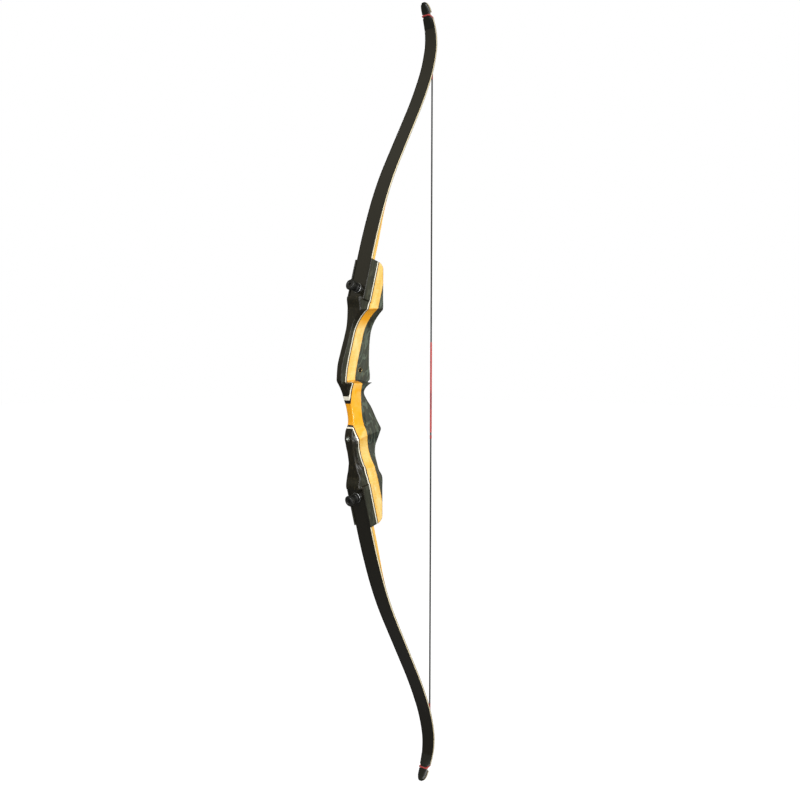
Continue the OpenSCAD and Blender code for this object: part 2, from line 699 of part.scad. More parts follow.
// Sleeve over the strands, and the served stem that lies along the recurve up to the fork
module end_serving() {
    low = string_end - end_serving_len;
    stem = concat([[0, string_y, string_end + fork_gap]],
        [for (s = steps(contact_s, fork_s, 5)) on_belly(0, s, string_lift)]);
    color(string_red) {
        translate([0, string_y, low]) difference() {
            cylinder(d = loop_d, h = end_serving_len, $fn = 48);
            translate([0, 0, -1])
                cylinder(d = strand_d + 2 * glue_gap, h = end_serving_len + 2, $fn = 48);
        }
        tube(stem, [for (p = stem) loop_d], 12, [1, 0, 0]);
    }
}

// Half of the lap: the upper half of the string keeps to +X, the lower to -X
module lap_cut() {
    translate([-far + run_gap / 2, -far / 2, -far]) cube([far, far, far + lap_half]);
    translate([-far / 2, -far / 2, -far - lap_half + tail_gap]) cube([far, far, far]);
}
module strands() {
    color(string_black) translate([0, string_y, 0]) difference() {
        translate([0, 0, -lap_half]) cylinder(d = strand_d, h = string_end + lap_half, $fn = 48);
        lap_cut();
    }
}
module serving_sleeve(low, high) {
    translate([0, string_y, low]) difference() {
        cylinder(d = serving_d, h = high - low, $fn = 48);
        translate([0, 0, -1]) cylinder(d = strand_d + 2 * glue_gap, h = high - low + 2, $fn = 48);
    }
}
module centre_serving(reach) {
    color(string_red) difference() {
        serving_sleeve(-lap_half, reach);
        translate([0, string_y, 0]) lap_cut();
    }
}
module serving_band() {
    low = -serving_low - band_gap - band_len;
    color(string_red) serving_sleeve(low, low + band_len);
}

// Lower twin of an upper piece; the string's halves also change sides at the lap
module lower() { mirror([0, 0, 1]) children(); }
module lower_half() { mirror([1, 0, 0]) mirror([0, 0, 1]) children(); }

riser_core();
riser_grip_block();
riser_front_upper();
riser_front_lower();
white_veneer_upper();
white_veneer_lower();
black_veneer_upper();
black_veneer_lower();
insert();  // insert_upper
lower() insert();  // insert_lower
pin();  // pin_upper
lower() pin();  // pin_lower
stabiliser_bushing();
plunger_bushing();
washer();  // washer_upper
lower() washer();  // washer_lower
bolt();  // bolt_upper
lower() bolt();  // bolt_lower
back_glass_butt();  // back_glass_butt_upper
lower() back_glass_butt();  // back_glass_butt_lower
core_butt();  // core_butt_upper
lower() core_butt();  // core_butt_lower
belly_glass_butt();  // belly_glass_butt_upper
lower() belly_glass_butt();  // belly_glass_butt_lower
wedge_butt();  // wedge_butt_upper
lower() wedge_butt();  // wedge_butt_lower
back_glass();  // back_glass_upper
lower() back_glass();  // back_glass_lower
core_wood();  // core_upper
lower() core_wood();  // core_lower
belly_glass();  // belly_glass_upper
lower() belly_glass();  // belly_glass_lower
wedge();  // wedge_upper
lower() wedge();  // wedge_lower
tip_overlay();  // tip_overlay_upper
lower() tip_overlay();  // tip_overlay_lower
strands();  // strands_upper
lower_half() strands();  // strands_lower
centre_serving(serving_top);  // centre_serving_upper
lower_half() centre_serving(serving_low);  // centre_serving_lower
end_serving();  // end_serving_upper
lower() end_serving();  // end_serving_lower
string_loop();  // string_loop_upper
lower() string_loop();  // string_loop_lower
serving_band();
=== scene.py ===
"""Strung takedown recurve bow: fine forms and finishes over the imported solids.

Lengths are metres in the frame of the solids: +Z up, -Y towards the target, +X to the
archer's left, and the throat of the grip at the origin.
"""

import json
import logging
import math
from dataclasses import dataclass
from enum import Enum
from functools import cached_property
from typing import Any, Callable, Sequence

import bmesh
import bpy
from mathutils import Matrix, Vector

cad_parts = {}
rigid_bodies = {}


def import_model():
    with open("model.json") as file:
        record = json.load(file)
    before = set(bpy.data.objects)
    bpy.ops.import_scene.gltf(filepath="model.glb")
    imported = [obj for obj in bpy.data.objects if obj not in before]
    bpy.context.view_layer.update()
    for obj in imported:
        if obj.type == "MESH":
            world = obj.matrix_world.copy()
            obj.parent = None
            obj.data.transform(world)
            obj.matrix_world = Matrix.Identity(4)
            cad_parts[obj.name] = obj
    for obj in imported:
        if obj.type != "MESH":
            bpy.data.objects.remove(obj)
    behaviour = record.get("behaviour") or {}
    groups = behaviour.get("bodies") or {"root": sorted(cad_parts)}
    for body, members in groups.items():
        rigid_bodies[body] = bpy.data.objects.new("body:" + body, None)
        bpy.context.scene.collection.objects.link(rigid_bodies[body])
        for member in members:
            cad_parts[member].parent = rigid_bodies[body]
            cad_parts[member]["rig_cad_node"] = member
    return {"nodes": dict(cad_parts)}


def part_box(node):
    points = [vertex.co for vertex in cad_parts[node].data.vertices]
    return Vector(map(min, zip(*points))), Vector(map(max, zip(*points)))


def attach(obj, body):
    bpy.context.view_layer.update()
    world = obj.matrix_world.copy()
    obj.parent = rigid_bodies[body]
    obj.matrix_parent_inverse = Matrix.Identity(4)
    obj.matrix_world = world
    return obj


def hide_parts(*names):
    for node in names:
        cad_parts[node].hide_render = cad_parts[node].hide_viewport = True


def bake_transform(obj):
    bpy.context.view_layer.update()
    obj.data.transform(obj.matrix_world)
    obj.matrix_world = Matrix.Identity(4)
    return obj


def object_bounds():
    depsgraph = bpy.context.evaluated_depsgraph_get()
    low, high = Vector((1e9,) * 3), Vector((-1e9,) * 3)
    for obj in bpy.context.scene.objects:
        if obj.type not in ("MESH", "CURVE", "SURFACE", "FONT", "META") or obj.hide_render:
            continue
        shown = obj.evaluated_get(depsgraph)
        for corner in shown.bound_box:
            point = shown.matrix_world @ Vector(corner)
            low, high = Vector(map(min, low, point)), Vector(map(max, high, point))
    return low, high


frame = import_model()
CAD_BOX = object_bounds()

MM = 0.001
LEAN = math.radians(16)
LOG = logging.getLogger("bow")

Colour = tuple[float, float, float]
Depth = Callable[[float], float]


class End(Enum):
    """The two ends of the bow."""

    UPPER = "upper"
    LOWER = "lower"

    @property
    def mirror(self) -> Matrix:
        """Transform that takes an upper piece to this end."""
        return Matrix.Diagonal((1, 1, 1 if self is End.UPPER else -1, 1))

    def name(self, piece: str) -> str:
        """Name of a piece at this end."""
        return f"{piece}_{self.value}"


class Cut(Enum):
    """How a tool shapes a piece."""

    KEEP = "INTERSECT"
    REMOVE = "DIFFERENCE"
    JOIN = "UNION"


# Shader expressions


class Signal:
    """A shader socket that takes part in Python arithmetic."""

    def __init__(self, desk: "Desk", socket: bpy.types.NodeSocket) -> None:
        """Wraps a socket.

        Args:
            desk: the maker of the nodes that an expression adds.
            socket: the output socket to read.
        """
        self.desk = desk
        self.socket = socket

    def _math(self, operation: str, *values: Any) -> "Signal":
        """Adds one Math node over the given values."""
        return self.desk.node("ShaderNodeMath", {"operation": operation}, dict(enumerate(values)))

    def __add__(self, other: Any) -> "Signal":
        """Sum."""
        return self._math("ADD", self, other)

    def __radd__(self, other: Any) -> "Signal":
        """Sum, reflected."""
        return self._math("ADD", other, self)

    def __sub__(self, other: Any) -> "Signal":
        """Difference."""
        return self._math("SUBTRACT", self, other)

    def __rsub__(self, other: Any) -> "Signal":
        """Difference, reflected."""
        return self._math("SUBTRACT", other, self)

    def __mul__(self, other: Any) -> "Signal":
        """Product."""
        return self._math("MULTIPLY", self, other)

    def __rmul__(self, other: Any) -> "Signal":
        """Product, reflected."""
        return self._math("MULTIPLY", other, self)

    def __truediv__(self, other: Any) -> "Signal":
        """Quotient."""
        return self._math("DIVIDE", self, other)

    def __rtruediv__(self, other: Any) -> "Signal":
        """Quotient, reflected."""
        return self._math("DIVIDE", other, self)

    def __abs__(self) -> "Signal":
        """Distance from zero."""
        return self._math("ABSOLUTE", self)

    def least(self, other: Any) -> "Signal":
        """The smaller of this and another value."""
        return self._math("MINIMUM", self, other)

    def most(self, other: Any) -> "Signal":
        """The larger of this and another value."""
        return self._math("MAXIMUM", self, other)

    def above(self, edge: float, soft: float) -> "Signal":
        """A mask that rises from 0 to 1 over a soft edge."""
        return ((self - edge) / soft).most(0.0).least(1.0)

    def turn(self, operation: str, *others: Any) -> "Signal":
        """An angle function, such as SINE, COSINE or ARCTAN2."""
        return self._math(operation, self, *others)


class Desk:
    """Lays out the nodes of one material or world."""

    def __init__(self, owner: bpy.types.Material | bpy.types.World, kind: str = "BSDF_PRINCIPLED") -> None:
        """Starts on the owner's own tree.

        Args:
            owner: the material or world, with its first shader in place.
            kind: type of that shader.
        """
        self.tree = owner.node_tree
        self.shader = next(n for n in self.tree.nodes if n.type == kind)

    @cached_property
    def place(self) -> Signal:
        """The point on the object."""
        return self.node("ShaderNodeTexCoord", outlet="Object")

    def seen_by(self, *rays: str) -> Signal:
        """A mask of some kinds of rays.

        Args:
            rays: the kinds, such as Camera.

        Returns:
            1 on a ray of any of these kinds, 0 on others.
        """
        masks = [self.node("ShaderNodeLightPath", outlet=f"Is {ray} Ray") for ray in rays]
        found = masks[0]
        for mask in masks[1:]:
            found = found.most(mask)
        return found

    def node(self, kind: str, settings: dict | None = None, inputs: dict | None = None,
             outlet: int | str = 0) -> Signal:
        """Adds one node.

        Args:
            kind: the node's type.
            settings: its own properties, set first.
            inputs: values or signals by socket name or index.
            outlet: the output to hand back.

        Returns:
            The chosen output as a signal.
        """
        made = self.tree.nodes.new(kind)
        for name, value in (settings or {}).items():
            setattr(made, name, value)
        for name, value in (inputs or {}).items():
            if isinstance(value, Signal):
                self.tree.links.new(value.socket, made.inputs[name])
            else:
                made.inputs[name].default_value = value
        return Signal(self, made.outputs[outlet])

    def axes(self, place: Signal | None = None) -> tuple[Signal, Signal, Signal]:
        """X, Y and Z of a place, by default of the point on the object."""
        first = self.node("ShaderNodeSeparateXYZ", None, {0: place or self.place})
        return tuple(Signal(self, outlet) for outlet in first.socket.node.outputs)

    def vector(self, x: Any, y: Any, z: Any) -> Signal:
        """A vector from three values."""
        return self.node("ShaderNodeCombineXYZ", None, {0: x, 1: y, 2: z})

    def noise(self, place: Signal, scale: float, detail: float = 2.0, rough: float = 0.5) -> Signal:
        """Soft noise from 0 to 1 at a scale per metre."""
        return self.node("ShaderNodeTexNoise", None,
                         {"Vector": place, "Scale": scale, "Detail": detail, "Roughness": rough})

    def mix(self, share: Any, first: Any, second: Any, way: str = "MIX") -> Signal:
        """A mix of two colours."""
        inputs = {0: share, 6: self._paint(first), 7: self._paint(second)}
        return self.node("ShaderNodeMix", {"data_type": "RGBA", "blend_type": way}, inputs, 2)

    @staticmethod
    def _paint(colour: Any) -> Any:
        """A colour with its alpha, or a signal as it is."""
        return colour if isinstance(colour, Signal) else (*colour, 1.0)

    def bump(self, height: Signal, depth: float, strength: float = 1.0) -> None:
        """Raises the surface.

        Args:
            height: how high each point stands, from 0 to 1.
            depth: the rise in metres at a height of 1.
            strength: share of the rise that shows.
        """
        inputs = {"Height": height, "Distance": depth, "Strength": strength}
        self.feed("Normal", self.node("ShaderNodeBump", None, inputs))

    def feed(self, socket: str, value: Any) -> None:
        """Sets or links one socket of the main shader.

        Args:
            socket: the socket's name.
            value: a signal to link, or a constant to set.
        """
        if isinstance(value, Signal):
            self.tree.links.new(value.socket, self.shader.inputs[socket])
        else:
            self.shader.inputs[socket].default_value = value


@dataclass(frozen=True)
class Finish:
    """A surface finish; each kind paints its own nodes."""

    name: str

    def material(self) -> bpy.types.Material:
        """The material of this finish, made once.

        Returns:
            The material, painted on its first use.
        """
        title = f"{self.name}_finish"
        found = bpy.data.materials.get(title)
        if found is None:
            found = bpy.data.materials.new(title)
            found.use_nodes = True
            self.paint(Desk(found))
        return found

    def paint(self, desk: Desk) -> None:
        """Lays out the nodes.

        Args:
            desk: the desk of the new material.
        """
        raise NotImplementedError


@dataclass(frozen=True)
class GlueLines:
    """Places the layers of the riser: an arc round the grip with straight, leaning ends."""

    radius: float = 237 * MM
    front: float = 38.5 * MM
    lean: float = LEAN

    @property
    def centre(self) -> Vector:
        """Centre of the arc."""
        return Vector((0, self.radius - self.front, 0))

    def depth(self, desk: Desk) -> Signal:
        """Distance behind the middle of the white veneer.

        Args:
            desk: the desk of the material that asks.

        Returns:
            The distance in metres.
        """
        _, y, z = desk.axes()
        ahead = self.centre.y - y
        rise = abs(z)
        angle = rise.turn("ARCTAN2", ahead).least(self.lean)
        return self.radius - (ahead * angle.turn("COSINE") + rise * angle.turn("SINE"))


@dataclass(frozen=True)
class RiserWood(Finish):
    """Varnished riser wood whose grain follows the glue lines.

    The ground clouds between two tones, the figure is drawn as the contours of a slow noise
    with darker rims, curl is a shimmer across the grain, and fibres are streaks along the bow.
    The stain colour is painted shade where the carving turns away from the flat sides and, on a wood that
    says so, real stain along the glue lines and where the hand holds the grip.
    """

    tones: tuple[Colour, Colour] = ((0, 0, 0), (1, 1, 1))
    # the stain colour and share below paint shade on faces that turn from the flat sides, and real stain at
    # the glue lines and grip
    stained: Colour = (0, 0, 0)
    stain: float = 0.0
    figure: Colour = (0, 0, 0)
    figure_share: float = 0.3
    figure_size: float = 34 * MM
    contours: float = 5.0
    rim_share: float = 0.4
    curl_share: float = 0.0
    glue_share: float = 0.0
    palm_share: float = 0.0
    gloss: float = 1.0
    pore: Colour = (0, 0, 0)
    pore_share: float = 0.3
    haze: float = 0.3
    middle: float = 13.25 * MM
    glue_from: float = 6.5 * MM
    held: tuple[float, float] = (-26 * MM, 30 * MM)
    ground_scale: float = 90.0
    fibre_scale: float = 2400.0
    pore_scale: float = 620.0
    curl_scale: float = 330.0
    patch_scale: float = 70.0
    wear_scale: float = 55.0
    relief: float = 0.00003

    def stained_part(self, desk: Desk, depth: Signal, z: Signal) -> Signal:
        """A mask of painted shade where the carving turns away from the flat sides, joined with the real
        stain along the glue lines and on the grip.

        Args:
            desk: the desk of the material.
            depth: distance behind the middle of the white veneer.
            z: height.

        Returns:
            The mask.
        """
        facing, _, _ = desk.axes(desk.node("ShaderNodeNewGeometry", outlet="Normal"))
        # painted shade: the surface is darker where its normal turns away from the flat sides
        painted_turn_shade = 1.0 - abs(facing).above(0.88, 0.11)
        glue = abs(depth - self.middle).above(self.glue_from, 4 * MM) * self.glue_share
        patches = desk.noise(desk.vector(facing, depth, z), self.patch_scale).above(0.35, 0.3)
        palm = (1.0 - abs(z - self.held[0]).above(self.held[1], 22 * MM)) * (0.7 + patches * 0.3)
        return painted_turn_shade.most(glue).most(palm * self.palm_share)

    def paint(self, desk: Desk) -> None:
        """Lays out the nodes.

        Args:
            desk: the desk of the new material.
        """
        x, _, z = desk.axes()
        depth = GlueLines().depth(desk)
        cloud = desk.noise(desk.vector(x, depth, z * 0.45), 1 / self.figure_size, 3.0, 0.55)
        ground = desk.noise(desk.vector(x, depth, z * 0.25), self.ground_scale, 3.0, 0.6)
        fibres = desk.noise(desk.vector(x, depth, z * 0.03), self.fibre_scale, 2.0, 0.6)
        pores = desk.noise(desk.vector(x, depth, z * 0.07), self.pore_scale, 1.0).above(0.6, 0.08)
        lines = (cloud * (math.tau * self.contours)).turn("SINE")
        colour = desk.mix(ground.above(0.3, 0.4), *self.tones)
        veins = lines.above(0.25, 0.6) * (0.35 + ground.above(0.4, 0.15) * 0.65)
        colour = desk.mix(veins * self.figure_share, colour, self.figure)
        rims = (1.0 - abs(lines)).above(0.7, 0.2) * ground.above(0.38, 0.2)
        colour = desk.mix(rims * self.rim_share, colour, self.tones[0])
        if self.curl_share:
            curl = desk.noise(desk.vector(x * 0.25, depth * 0.35, z), self.curl_scale, 2.0, 0.6)
            colour = desk.mix(curl.above(0.48, 0.16) * self.curl_share, colour, self.figure)
        # painted shade on turned-away faces, with real stain at the glue lines and grip on the yellow wood
        if self.stain:
            share = self.stained_part(desk, depth, z) * (0.6 + ground * 0.8) * self.stain
            colour = desk.mix(share.least(1.0), colour, self.stained)
        marks = (pores + (fibres - 0.5).most(0.0)).least(1.0)
        colour = desk.mix(marks * self.pore_share, colour, self.pore)
        desk.feed("Base Color", colour)
        desk.feed("Roughness", self.haze + fibres * 0.12)
        desk.feed("Specular IOR Level", 0.25)
        worn = desk.noise(desk.place, self.wear_scale).above(0.62, 0.1)
        desk.feed("Coat Weight", self.gloss * (1.0 - worn * 0.25))
        desk.feed("Coat Roughness", 0.07)
        desk.feed("Coat IOR", 1.5)
        desk.bump(fibres + pores * 0.6, self.relief, 0.35)


@dataclass(frozen=True)
class LimbWood(Finish):
    """Varnished maple of a limb, seen on its edges as fine layers."""

    pale: Colour = (0.86, 0.74, 0.5)
    deep: Colour = (0.7, 0.5, 0.24)
    streak_scale: float = 900.0
    cloud_scale: float = 60.0
    relief: float = 0.00002

    def paint(self, desk: Desk) -> None:
        """Lays out the nodes.

        Args:
            desk: the desk of the new material.
        """
        x, y, z = desk.axes()
        streaks = desk.noise(desk.vector(x, y, z * 0.06), self.streak_scale, 3.0, 0.6)
        cloud = desk.noise(desk.vector(x, y, z * 0.2), self.cloud_scale)
        colour = desk.mix(streaks.above(0.35, 0.4), self.pale, self.deep)
        desk.feed("Base Color", desk.mix(cloud * 0.35, colour, self.pale))
        desk.feed("Roughness", 0.3 + streaks * 0.15)
        desk.feed("Coat Weight", 0.8)
        desk.feed("Coat Roughness", 0.06)
        desk.bump(streaks, self.relief, 0.4)


@dataclass(frozen=True)
class LimbGlass(Finish):
    """Black glass laminate: fine strands along the limb under clear resin."""

    base: Colour = (0.006, 0.005, 0.0025)
    strand: Colour = (0.012, 0.01, 0.005)
    roughness: float = 0.25
    coat: float = 0.6
    strand_scale: float = 1500.0
    haze_scale: float = 25.0
    relief: float = 0.00001

    def paint(self, desk: Desk) -> None:
        """Lays out the nodes.

        Args:
            desk: the desk of the new material.
        """
        x, y, z = desk.axes()
        strands = desk.noise(desk.vector(x, y, z * 0.012), self.strand_scale, 2.0, 0.6)
        haze = desk.noise(desk.vector(x, y, z * 0.5), self.haze_scale)
        colour = desk.mix(strands.above(0.42, 0.3), self.base, self.strand)
        desk.feed("Base Color", desk.mix(haze * 0.4, colour, self.strand))
        desk.feed("Roughness", self.roughness + haze * 0.1)
        desk.feed("Specular IOR Level", 0.35)
        desk.feed("Coat Weight", self.coat)
        desk.feed("Coat Roughness", 0.06)
        desk.bump(strands, self.relief, 0.25)


@dataclass(frozen=True)
class Metal(Finish):
    """Turned metal with fine tool marks and a little soiling."""

    base: Colour = (0.6, 0.6, 0.6)
    soil: Colour = (0.2, 0.2, 0.2)
    roughness: float = 0.25
    metallic: float = 1.0
    coat: float = 0.0
    mark_scale: float = 2600.0
    patch_scale: float = 170.0
    relief: float = 0.000015

    def paint(self, desk: Desk) -> None:
        """Lays out the nodes.

        Args:
            desk: the desk of the new material.
        """
        marks = desk.noise(desk.place, self.mark_scale, 3.0, 0.7)
        patches = desk.noise(desk.place, self.patch_scale, 3.0, 0.6)
        desk.feed("Base Color", desk.mix(patches.above(0.5, 0.3) * 0.5, self.base, self.soil))
        desk.feed("Metallic", self.metallic)
        desk.feed("Roughness", self.roughness + marks * 0.16 + patches * 0.08)
        desk.feed("Coat Weight", self.coat)
        desk.feed("Coat Roughness", 0.08)
        desk.bump(marks, self.relief, 0.4)


@dataclass(frozen=True)
class StringThread(Finish):
    """Waxed string fibre: hairlike filaments with a soft sheen."""

    base: Colour = (0.04, 0.04, 0.04)
    pale: Colour = (0.1, 0.1, 0.1)
    dark_from: float = -1.0
    dark_to: float = -1.0
    dark: Colour = (0.2, 0.03, 0.03)
    dark_edge: float = 1.5 * MM
    hair_scale: float = 5200.0
    wax_scale: float = 420.0
    relief: float = 0.00003

    def paint(self, desk: Desk) -> None:
        """Lays out the nodes.

        Args:
            desk: the desk of the new material.
        """
        _, _, z = desk.axes()
        hairs = desk.noise(desk.place, self.hair_scale, 2.0, 0.6)
        wax = desk.noise(desk.place, self.wax_scale)
        colour = desk.mix(hairs.above(0.4, 0.3), self.base, self.pale)
        colour = desk.mix(wax.above(0.55, 0.2) * 0.35, colour, self.base)
        if self.dark_to > self.dark_from:
            below = 1.0 - z.above(self.dark_to, self.dark_edge)
            band = z.above(self.dark_from, self.dark_edge) * below
            colour = desk.mix(band * 0.6, colour, self.dark)
        desk.feed("Base Color", colour)
        desk.feed("Roughness", 0.55 + hairs * 0.2)
        desk.feed("Sheen Weight", 0.08)
        desk.feed("Sheen Roughness", 0.4)
        desk.bump(hairs, self.relief, 0.5)


# In the three riser woods below, the darker stain colour is painted shade on faces that turn from the flat
# sides; on the yellow wood it is also real stain at the glue lines and the grip.
YELLOW_WOOD = RiserWood(
    "yellow_wood", tones=((0.85, 0.485, 0.065), (0.95, 0.66, 0.2)), stained=(0.95, 0.4, 0.008), stain=1.0,
    figure=(0.95, 0.76, 0.36), figure_share=0.4, figure_size=30 * MM, contours=3.0, rim_share=0.3,
    curl_share=0.3, glue_share=0.5, palm_share=1.0, pore=(0.7, 0.31, 0.02), pore_share=0.25)
GREEN_WOOD = RiserWood(
    "green_wood", tones=((0.009, 0.012, 0.01), (0.034, 0.044, 0.036)), stained=(0.02, 0.017, 0.008),
    stain=0.6, figure=(0.1, 0.135, 0.1), figure_share=0.7, figure_size=30 * MM, contours=7.0,
    rim_share=0.75, pore=(0.13, 0.1, 0.035), pore_share=0.4, gloss=0.85)
BLACK_WOOD = RiserWood(
    "black_wood", tones=((0.012, 0.013, 0.009), (0.036, 0.039, 0.027)), stained=(0.01, 0.0085, 0.005),
    stain=0.9, figure=(0.06, 0.066, 0.046), figure_share=0.6, figure_size=30 * MM, contours=7.0,
    rim_share=0.6, pore=(0.08, 0.062, 0.028), pore_share=0.35, gloss=0.25)
WHITE_VENEER = RiserWood(
    "white_veneer", tones=((0.86, 0.8, 0.62), (0.92, 0.88, 0.74)), figure=(0.8, 0.7, 0.5), figure_share=0.2,
    pore=(0.62, 0.52, 0.3), pore_share=0.12)
BLACK_VENEER = RiserWood(
    "black_veneer", tones=((0.004, 0.004, 0.004), (0.01, 0.01, 0.009)), figure=(0.014, 0.014, 0.012),
    pore=(0.02, 0.018, 0.014))
LIMB_MAPLE = LimbWood("limb_maple", pale=(0.9, 0.8, 0.56), deep=(0.8, 0.62, 0.32))
WEDGE_MAPLE = LimbWood("wedge_maple", pale=(0.92, 0.58, 0.12), deep=(0.85, 0.42, 0.04))
BLACK_GLASS = LimbGlass("black_glass")
TIP_BLACK = LimbGlass("tip_black", base=(0.008, 0.008, 0.006), strand=(0.016, 0.016, 0.012),
                      roughness=0.3, coat=0.2)
BRASS = Metal("brass", base=(0.72, 0.55, 0.26), soil=(0.3, 0.2, 0.08), roughness=0.22)
NICKEL = Metal("nickel", base=(0.4, 0.42, 0.38), soil=(0.15, 0.15, 0.12), roughness=0.25)
STEEL = Metal("steel", base=(0.42, 0.43, 0.43), soil=(0.18, 0.17, 0.15), roughness=0.28)
BLACK_METAL = Metal("black_metal", base=(0.01, 0.01, 0.009), soil=(0.026, 0.024, 0.02),
                    roughness=0.34, metallic=0.2, coat=0.3)
# painted shade: the plunger bushing's thread is nearly black so that its bore looks shaded
SHADED_BORE_THREAD = Metal("oiled_thread", base=(0.02, 0.017, 0.012), soil=(0.1, 0.075, 0.03), roughness=0.4,
                     metallic=0.6)
STRAND_BLACK = StringThread("strand_black", base=(0.01, 0.0105, 0.009), pale=(0.035, 0.038, 0.034))
SERVING_RED = StringThread("serving_red", base=(0.44, 0.05, 0.05), pale=(0.62, 0.12, 0.105),
                           dark_from=-36.6 * MM, dark_to=-3.6 * MM, dark=(0.24, 0.025, 0.04))
LOOP_RED = StringThread("loop_red", base=(0.34, 0.028, 0.028), pale=(0.56, 0.08, 0.07))


# Mesh tools


SQUARE = ((-1, -1), (1, -1), (1, 1), (-1, 1))
UNMOVED = Matrix.Identity(4)


def finish_mesh(mesh: bpy.types.Mesh, crease: float) -> None:
    """Shades a mesh smooth, with sharp edges past a crease angle in degrees."""
    mesh.polygons.foreach_set("use_smooth", [True] * len(mesh.polygons))
    mesh.set_sharp_from_angle(angle=math.radians(crease))


def make_piece(name: str, shape: bmesh.types.BMesh, crease: float = 35.0) -> bpy.types.Object:
    """Turns a shape into an object at the origin.

    Args:
        name: the piece's name.
        shape: the bmesh, which is freed.
        crease: angle in degrees past which an edge shows sharp.

    Returns:
        The new object.
    """
    bmesh.ops.recalc_face_normals(shape, faces=shape.faces)
    mesh = bpy.data.meshes.new(name)
    shape.to_mesh(mesh)
    shape.free()
    finish_mesh(mesh, crease)
    made = bpy.data.objects.new(name, mesh)
    bpy.context.scene.collection.objects.link(made)
    return made


def settle(piece: bpy.types.Object, crease: float = 35.0) -> None:
    """Applies a piece's modifiers to its mesh.

    Args:
        piece: the object whose modifiers are applied.
        crease: angle in degrees past which an edge shows sharp.
    """
    bpy.context.view_layer.update()
    graph = bpy.context.evaluated_depsgraph_get()
    rough = piece.data
    piece.data = bpy.data.meshes.new_from_object(piece.evaluated_get(graph))
    piece.modifiers.clear()
    bpy.data.meshes.remove(rough)
    finish_mesh(piece.data, crease)


def shape_with(piece: bpy.types.Object, tool: bpy.types.Object, way: Cut, crease: float = 35.0) -> None:
    """Cuts a piece with a tool, or joins the tool to it, and discards the tool.

    Args:
        piece: the object to cut.
        tool: a closed solid.
        way: whether the tool's inside is kept, removed or added.
        crease: angle in degrees past which an edge shows sharp.
    """
    step = piece.modifiers.new("cut", "BOOLEAN")
    step.operation = way.value
    step.solver = "MANIFOLD"
    step.object = tool
    settle(piece, crease)
    bpy.data.objects.remove(tool)


def round_edges(piece: bpy.types.Object, width: float, segments: int = 2, angle: float = 40.0) -> None:
    """Rounds the sharp edges of a piece.

    Args:
        piece: the object to round.
        width: width of the rounding.
        segments: number of strips across it.
        angle: angle in degrees past which an edge counts as sharp.
    """
    step = piece.modifiers.new("round", "BEVEL")
    step.width = width
    step.segments = segments
    step.limit_method = "ANGLE"
    step.angle_limit = math.radians(angle)
    settle(piece)


def loft(rings: Sequence[Sequence[Vector]]) -> bmesh.types.BMesh:
    """A closed solid through rings of equal count.

    Args:
        rings: the points of each ring, in the same order round every one.

    Returns:
        The solid's bmesh.
    """
    shape = bmesh.new()
    place = shape.verts.layers.int.new("place")
    corners = [shape.verts.new(point) for point in rings[0]]
    for i, vert in enumerate(corners):
        vert[place] = i
    edges = [shape.edges.new(pair) for pair in zip(corners, corners[1:] + corners[:1])]
    bmesh.ops.contextual_create(shape, geom=edges)
    for ring in rings[1:]:
        grown = bmesh.ops.extrude_edge_only(shape, edges=edges)["geom"]
        fresh = {part for part in grown if isinstance(part, bmesh.types.BMVert)}
        for vert in fresh:
            vert.co = ring[vert[place]]
        edges = [part for part in grown
                 if isinstance(part, bmesh.types.BMEdge) and fresh.issuperset(part.verts)]
    bmesh.ops.contextual_create(shape, geom=edges)
    shape.verts.layers.int.remove(place)
    return shape


def swept(section: Sequence[tuple[float, float]], frames: Sequence[Matrix]) -> bmesh.types.BMesh:
    """A closed solid with one section carried through frames.

    Args:
        section: corners of the section in the frames' X and Y.
        frames: the section's frames, one at each station.

    Returns:
        The solid's bmesh.
    """
    return loft([[frame_at @ Vector((x, y, 0)) for x, y in section] for frame_at in frames])


def circle(sides: int) -> list[tuple[float, float]]:
    """Corners of a circle of radius 1."""
    return [(math.cos(math.tau * i / sides), math.sin(math.tau * i / sides)) for i in range(sides)]


def tube_frames(path: Sequence[Vector], radii: Sequence[float]) -> list[Matrix]:
    """Frames along a path that never twist, scaled by a radius at each point.

    Args:
        path: the points, in order.
        radii: a radius for each point.

    Returns:
        One frame for each point, with its Z along the path.
    """
    frames = []
    side = Vector((1, 0, 0))
    for i, (point, radius) in enumerate(zip(path, radii)):
        ahead = (path[min(i + 1, len(path) - 1)] - path[max(i - 1, 0)]).normalized()
        side = (side - ahead * side.dot(ahead)).normalized()
        turn = Matrix((side, ahead.cross(side), ahead)).transposed().to_4x4()
        frames.append(Matrix.Translation(point) @ turn @ Matrix.Scale(radius, 4))
    return frames


def block(place: Matrix, low: Vector, high: Vector) -> bpy.types.Object:
    """A box between two corners of a frame, as a tool.

    Args:
        place: the frame.
        low: its lower corner in that frame.
        high: its upper corner in that frame.

    Returns:
        The box.
    """
    shape = bmesh.new()
    size = Matrix.Diagonal((*(high - low), 1))
    bmesh.ops.create_cube(shape, size=1, matrix=place @ Matrix.Translation((low + high) / 2) @ size)
    return make_piece("block", shape)


def turned(profile: Sequence[tuple[float, float]], steps: int) -> bmesh.types.BMesh:
    """A turned solid about Z.

    Args:
        profile: radius and height of each corner; a closed ring where no corner is on the axis.
        steps: facets round the axis.

    Returns:
        The solid's bmesh.
    """
    shape = bmesh.new()
    corners = [shape.verts.new((r, 0, h)) for r, h in profile]
    runs = list(zip(corners, corners[1:]))
    if min(r for r, _ in profile) > 0:
        runs.append((corners[-1], corners[0]))
    edges = [shape.edges.new(pair) for pair in runs]
    bmesh.ops.spin(shape, geom=corners + edges, cent=(0, 0, 0), axis=(0, 0, 1), dvec=(0, 0, 0),
                   angle=math.tau, steps=steps, use_merge=True, use_duplicate=False)
    bmesh.ops.remove_doubles(shape, verts=shape.verts, dist=1e-6)
    return shape


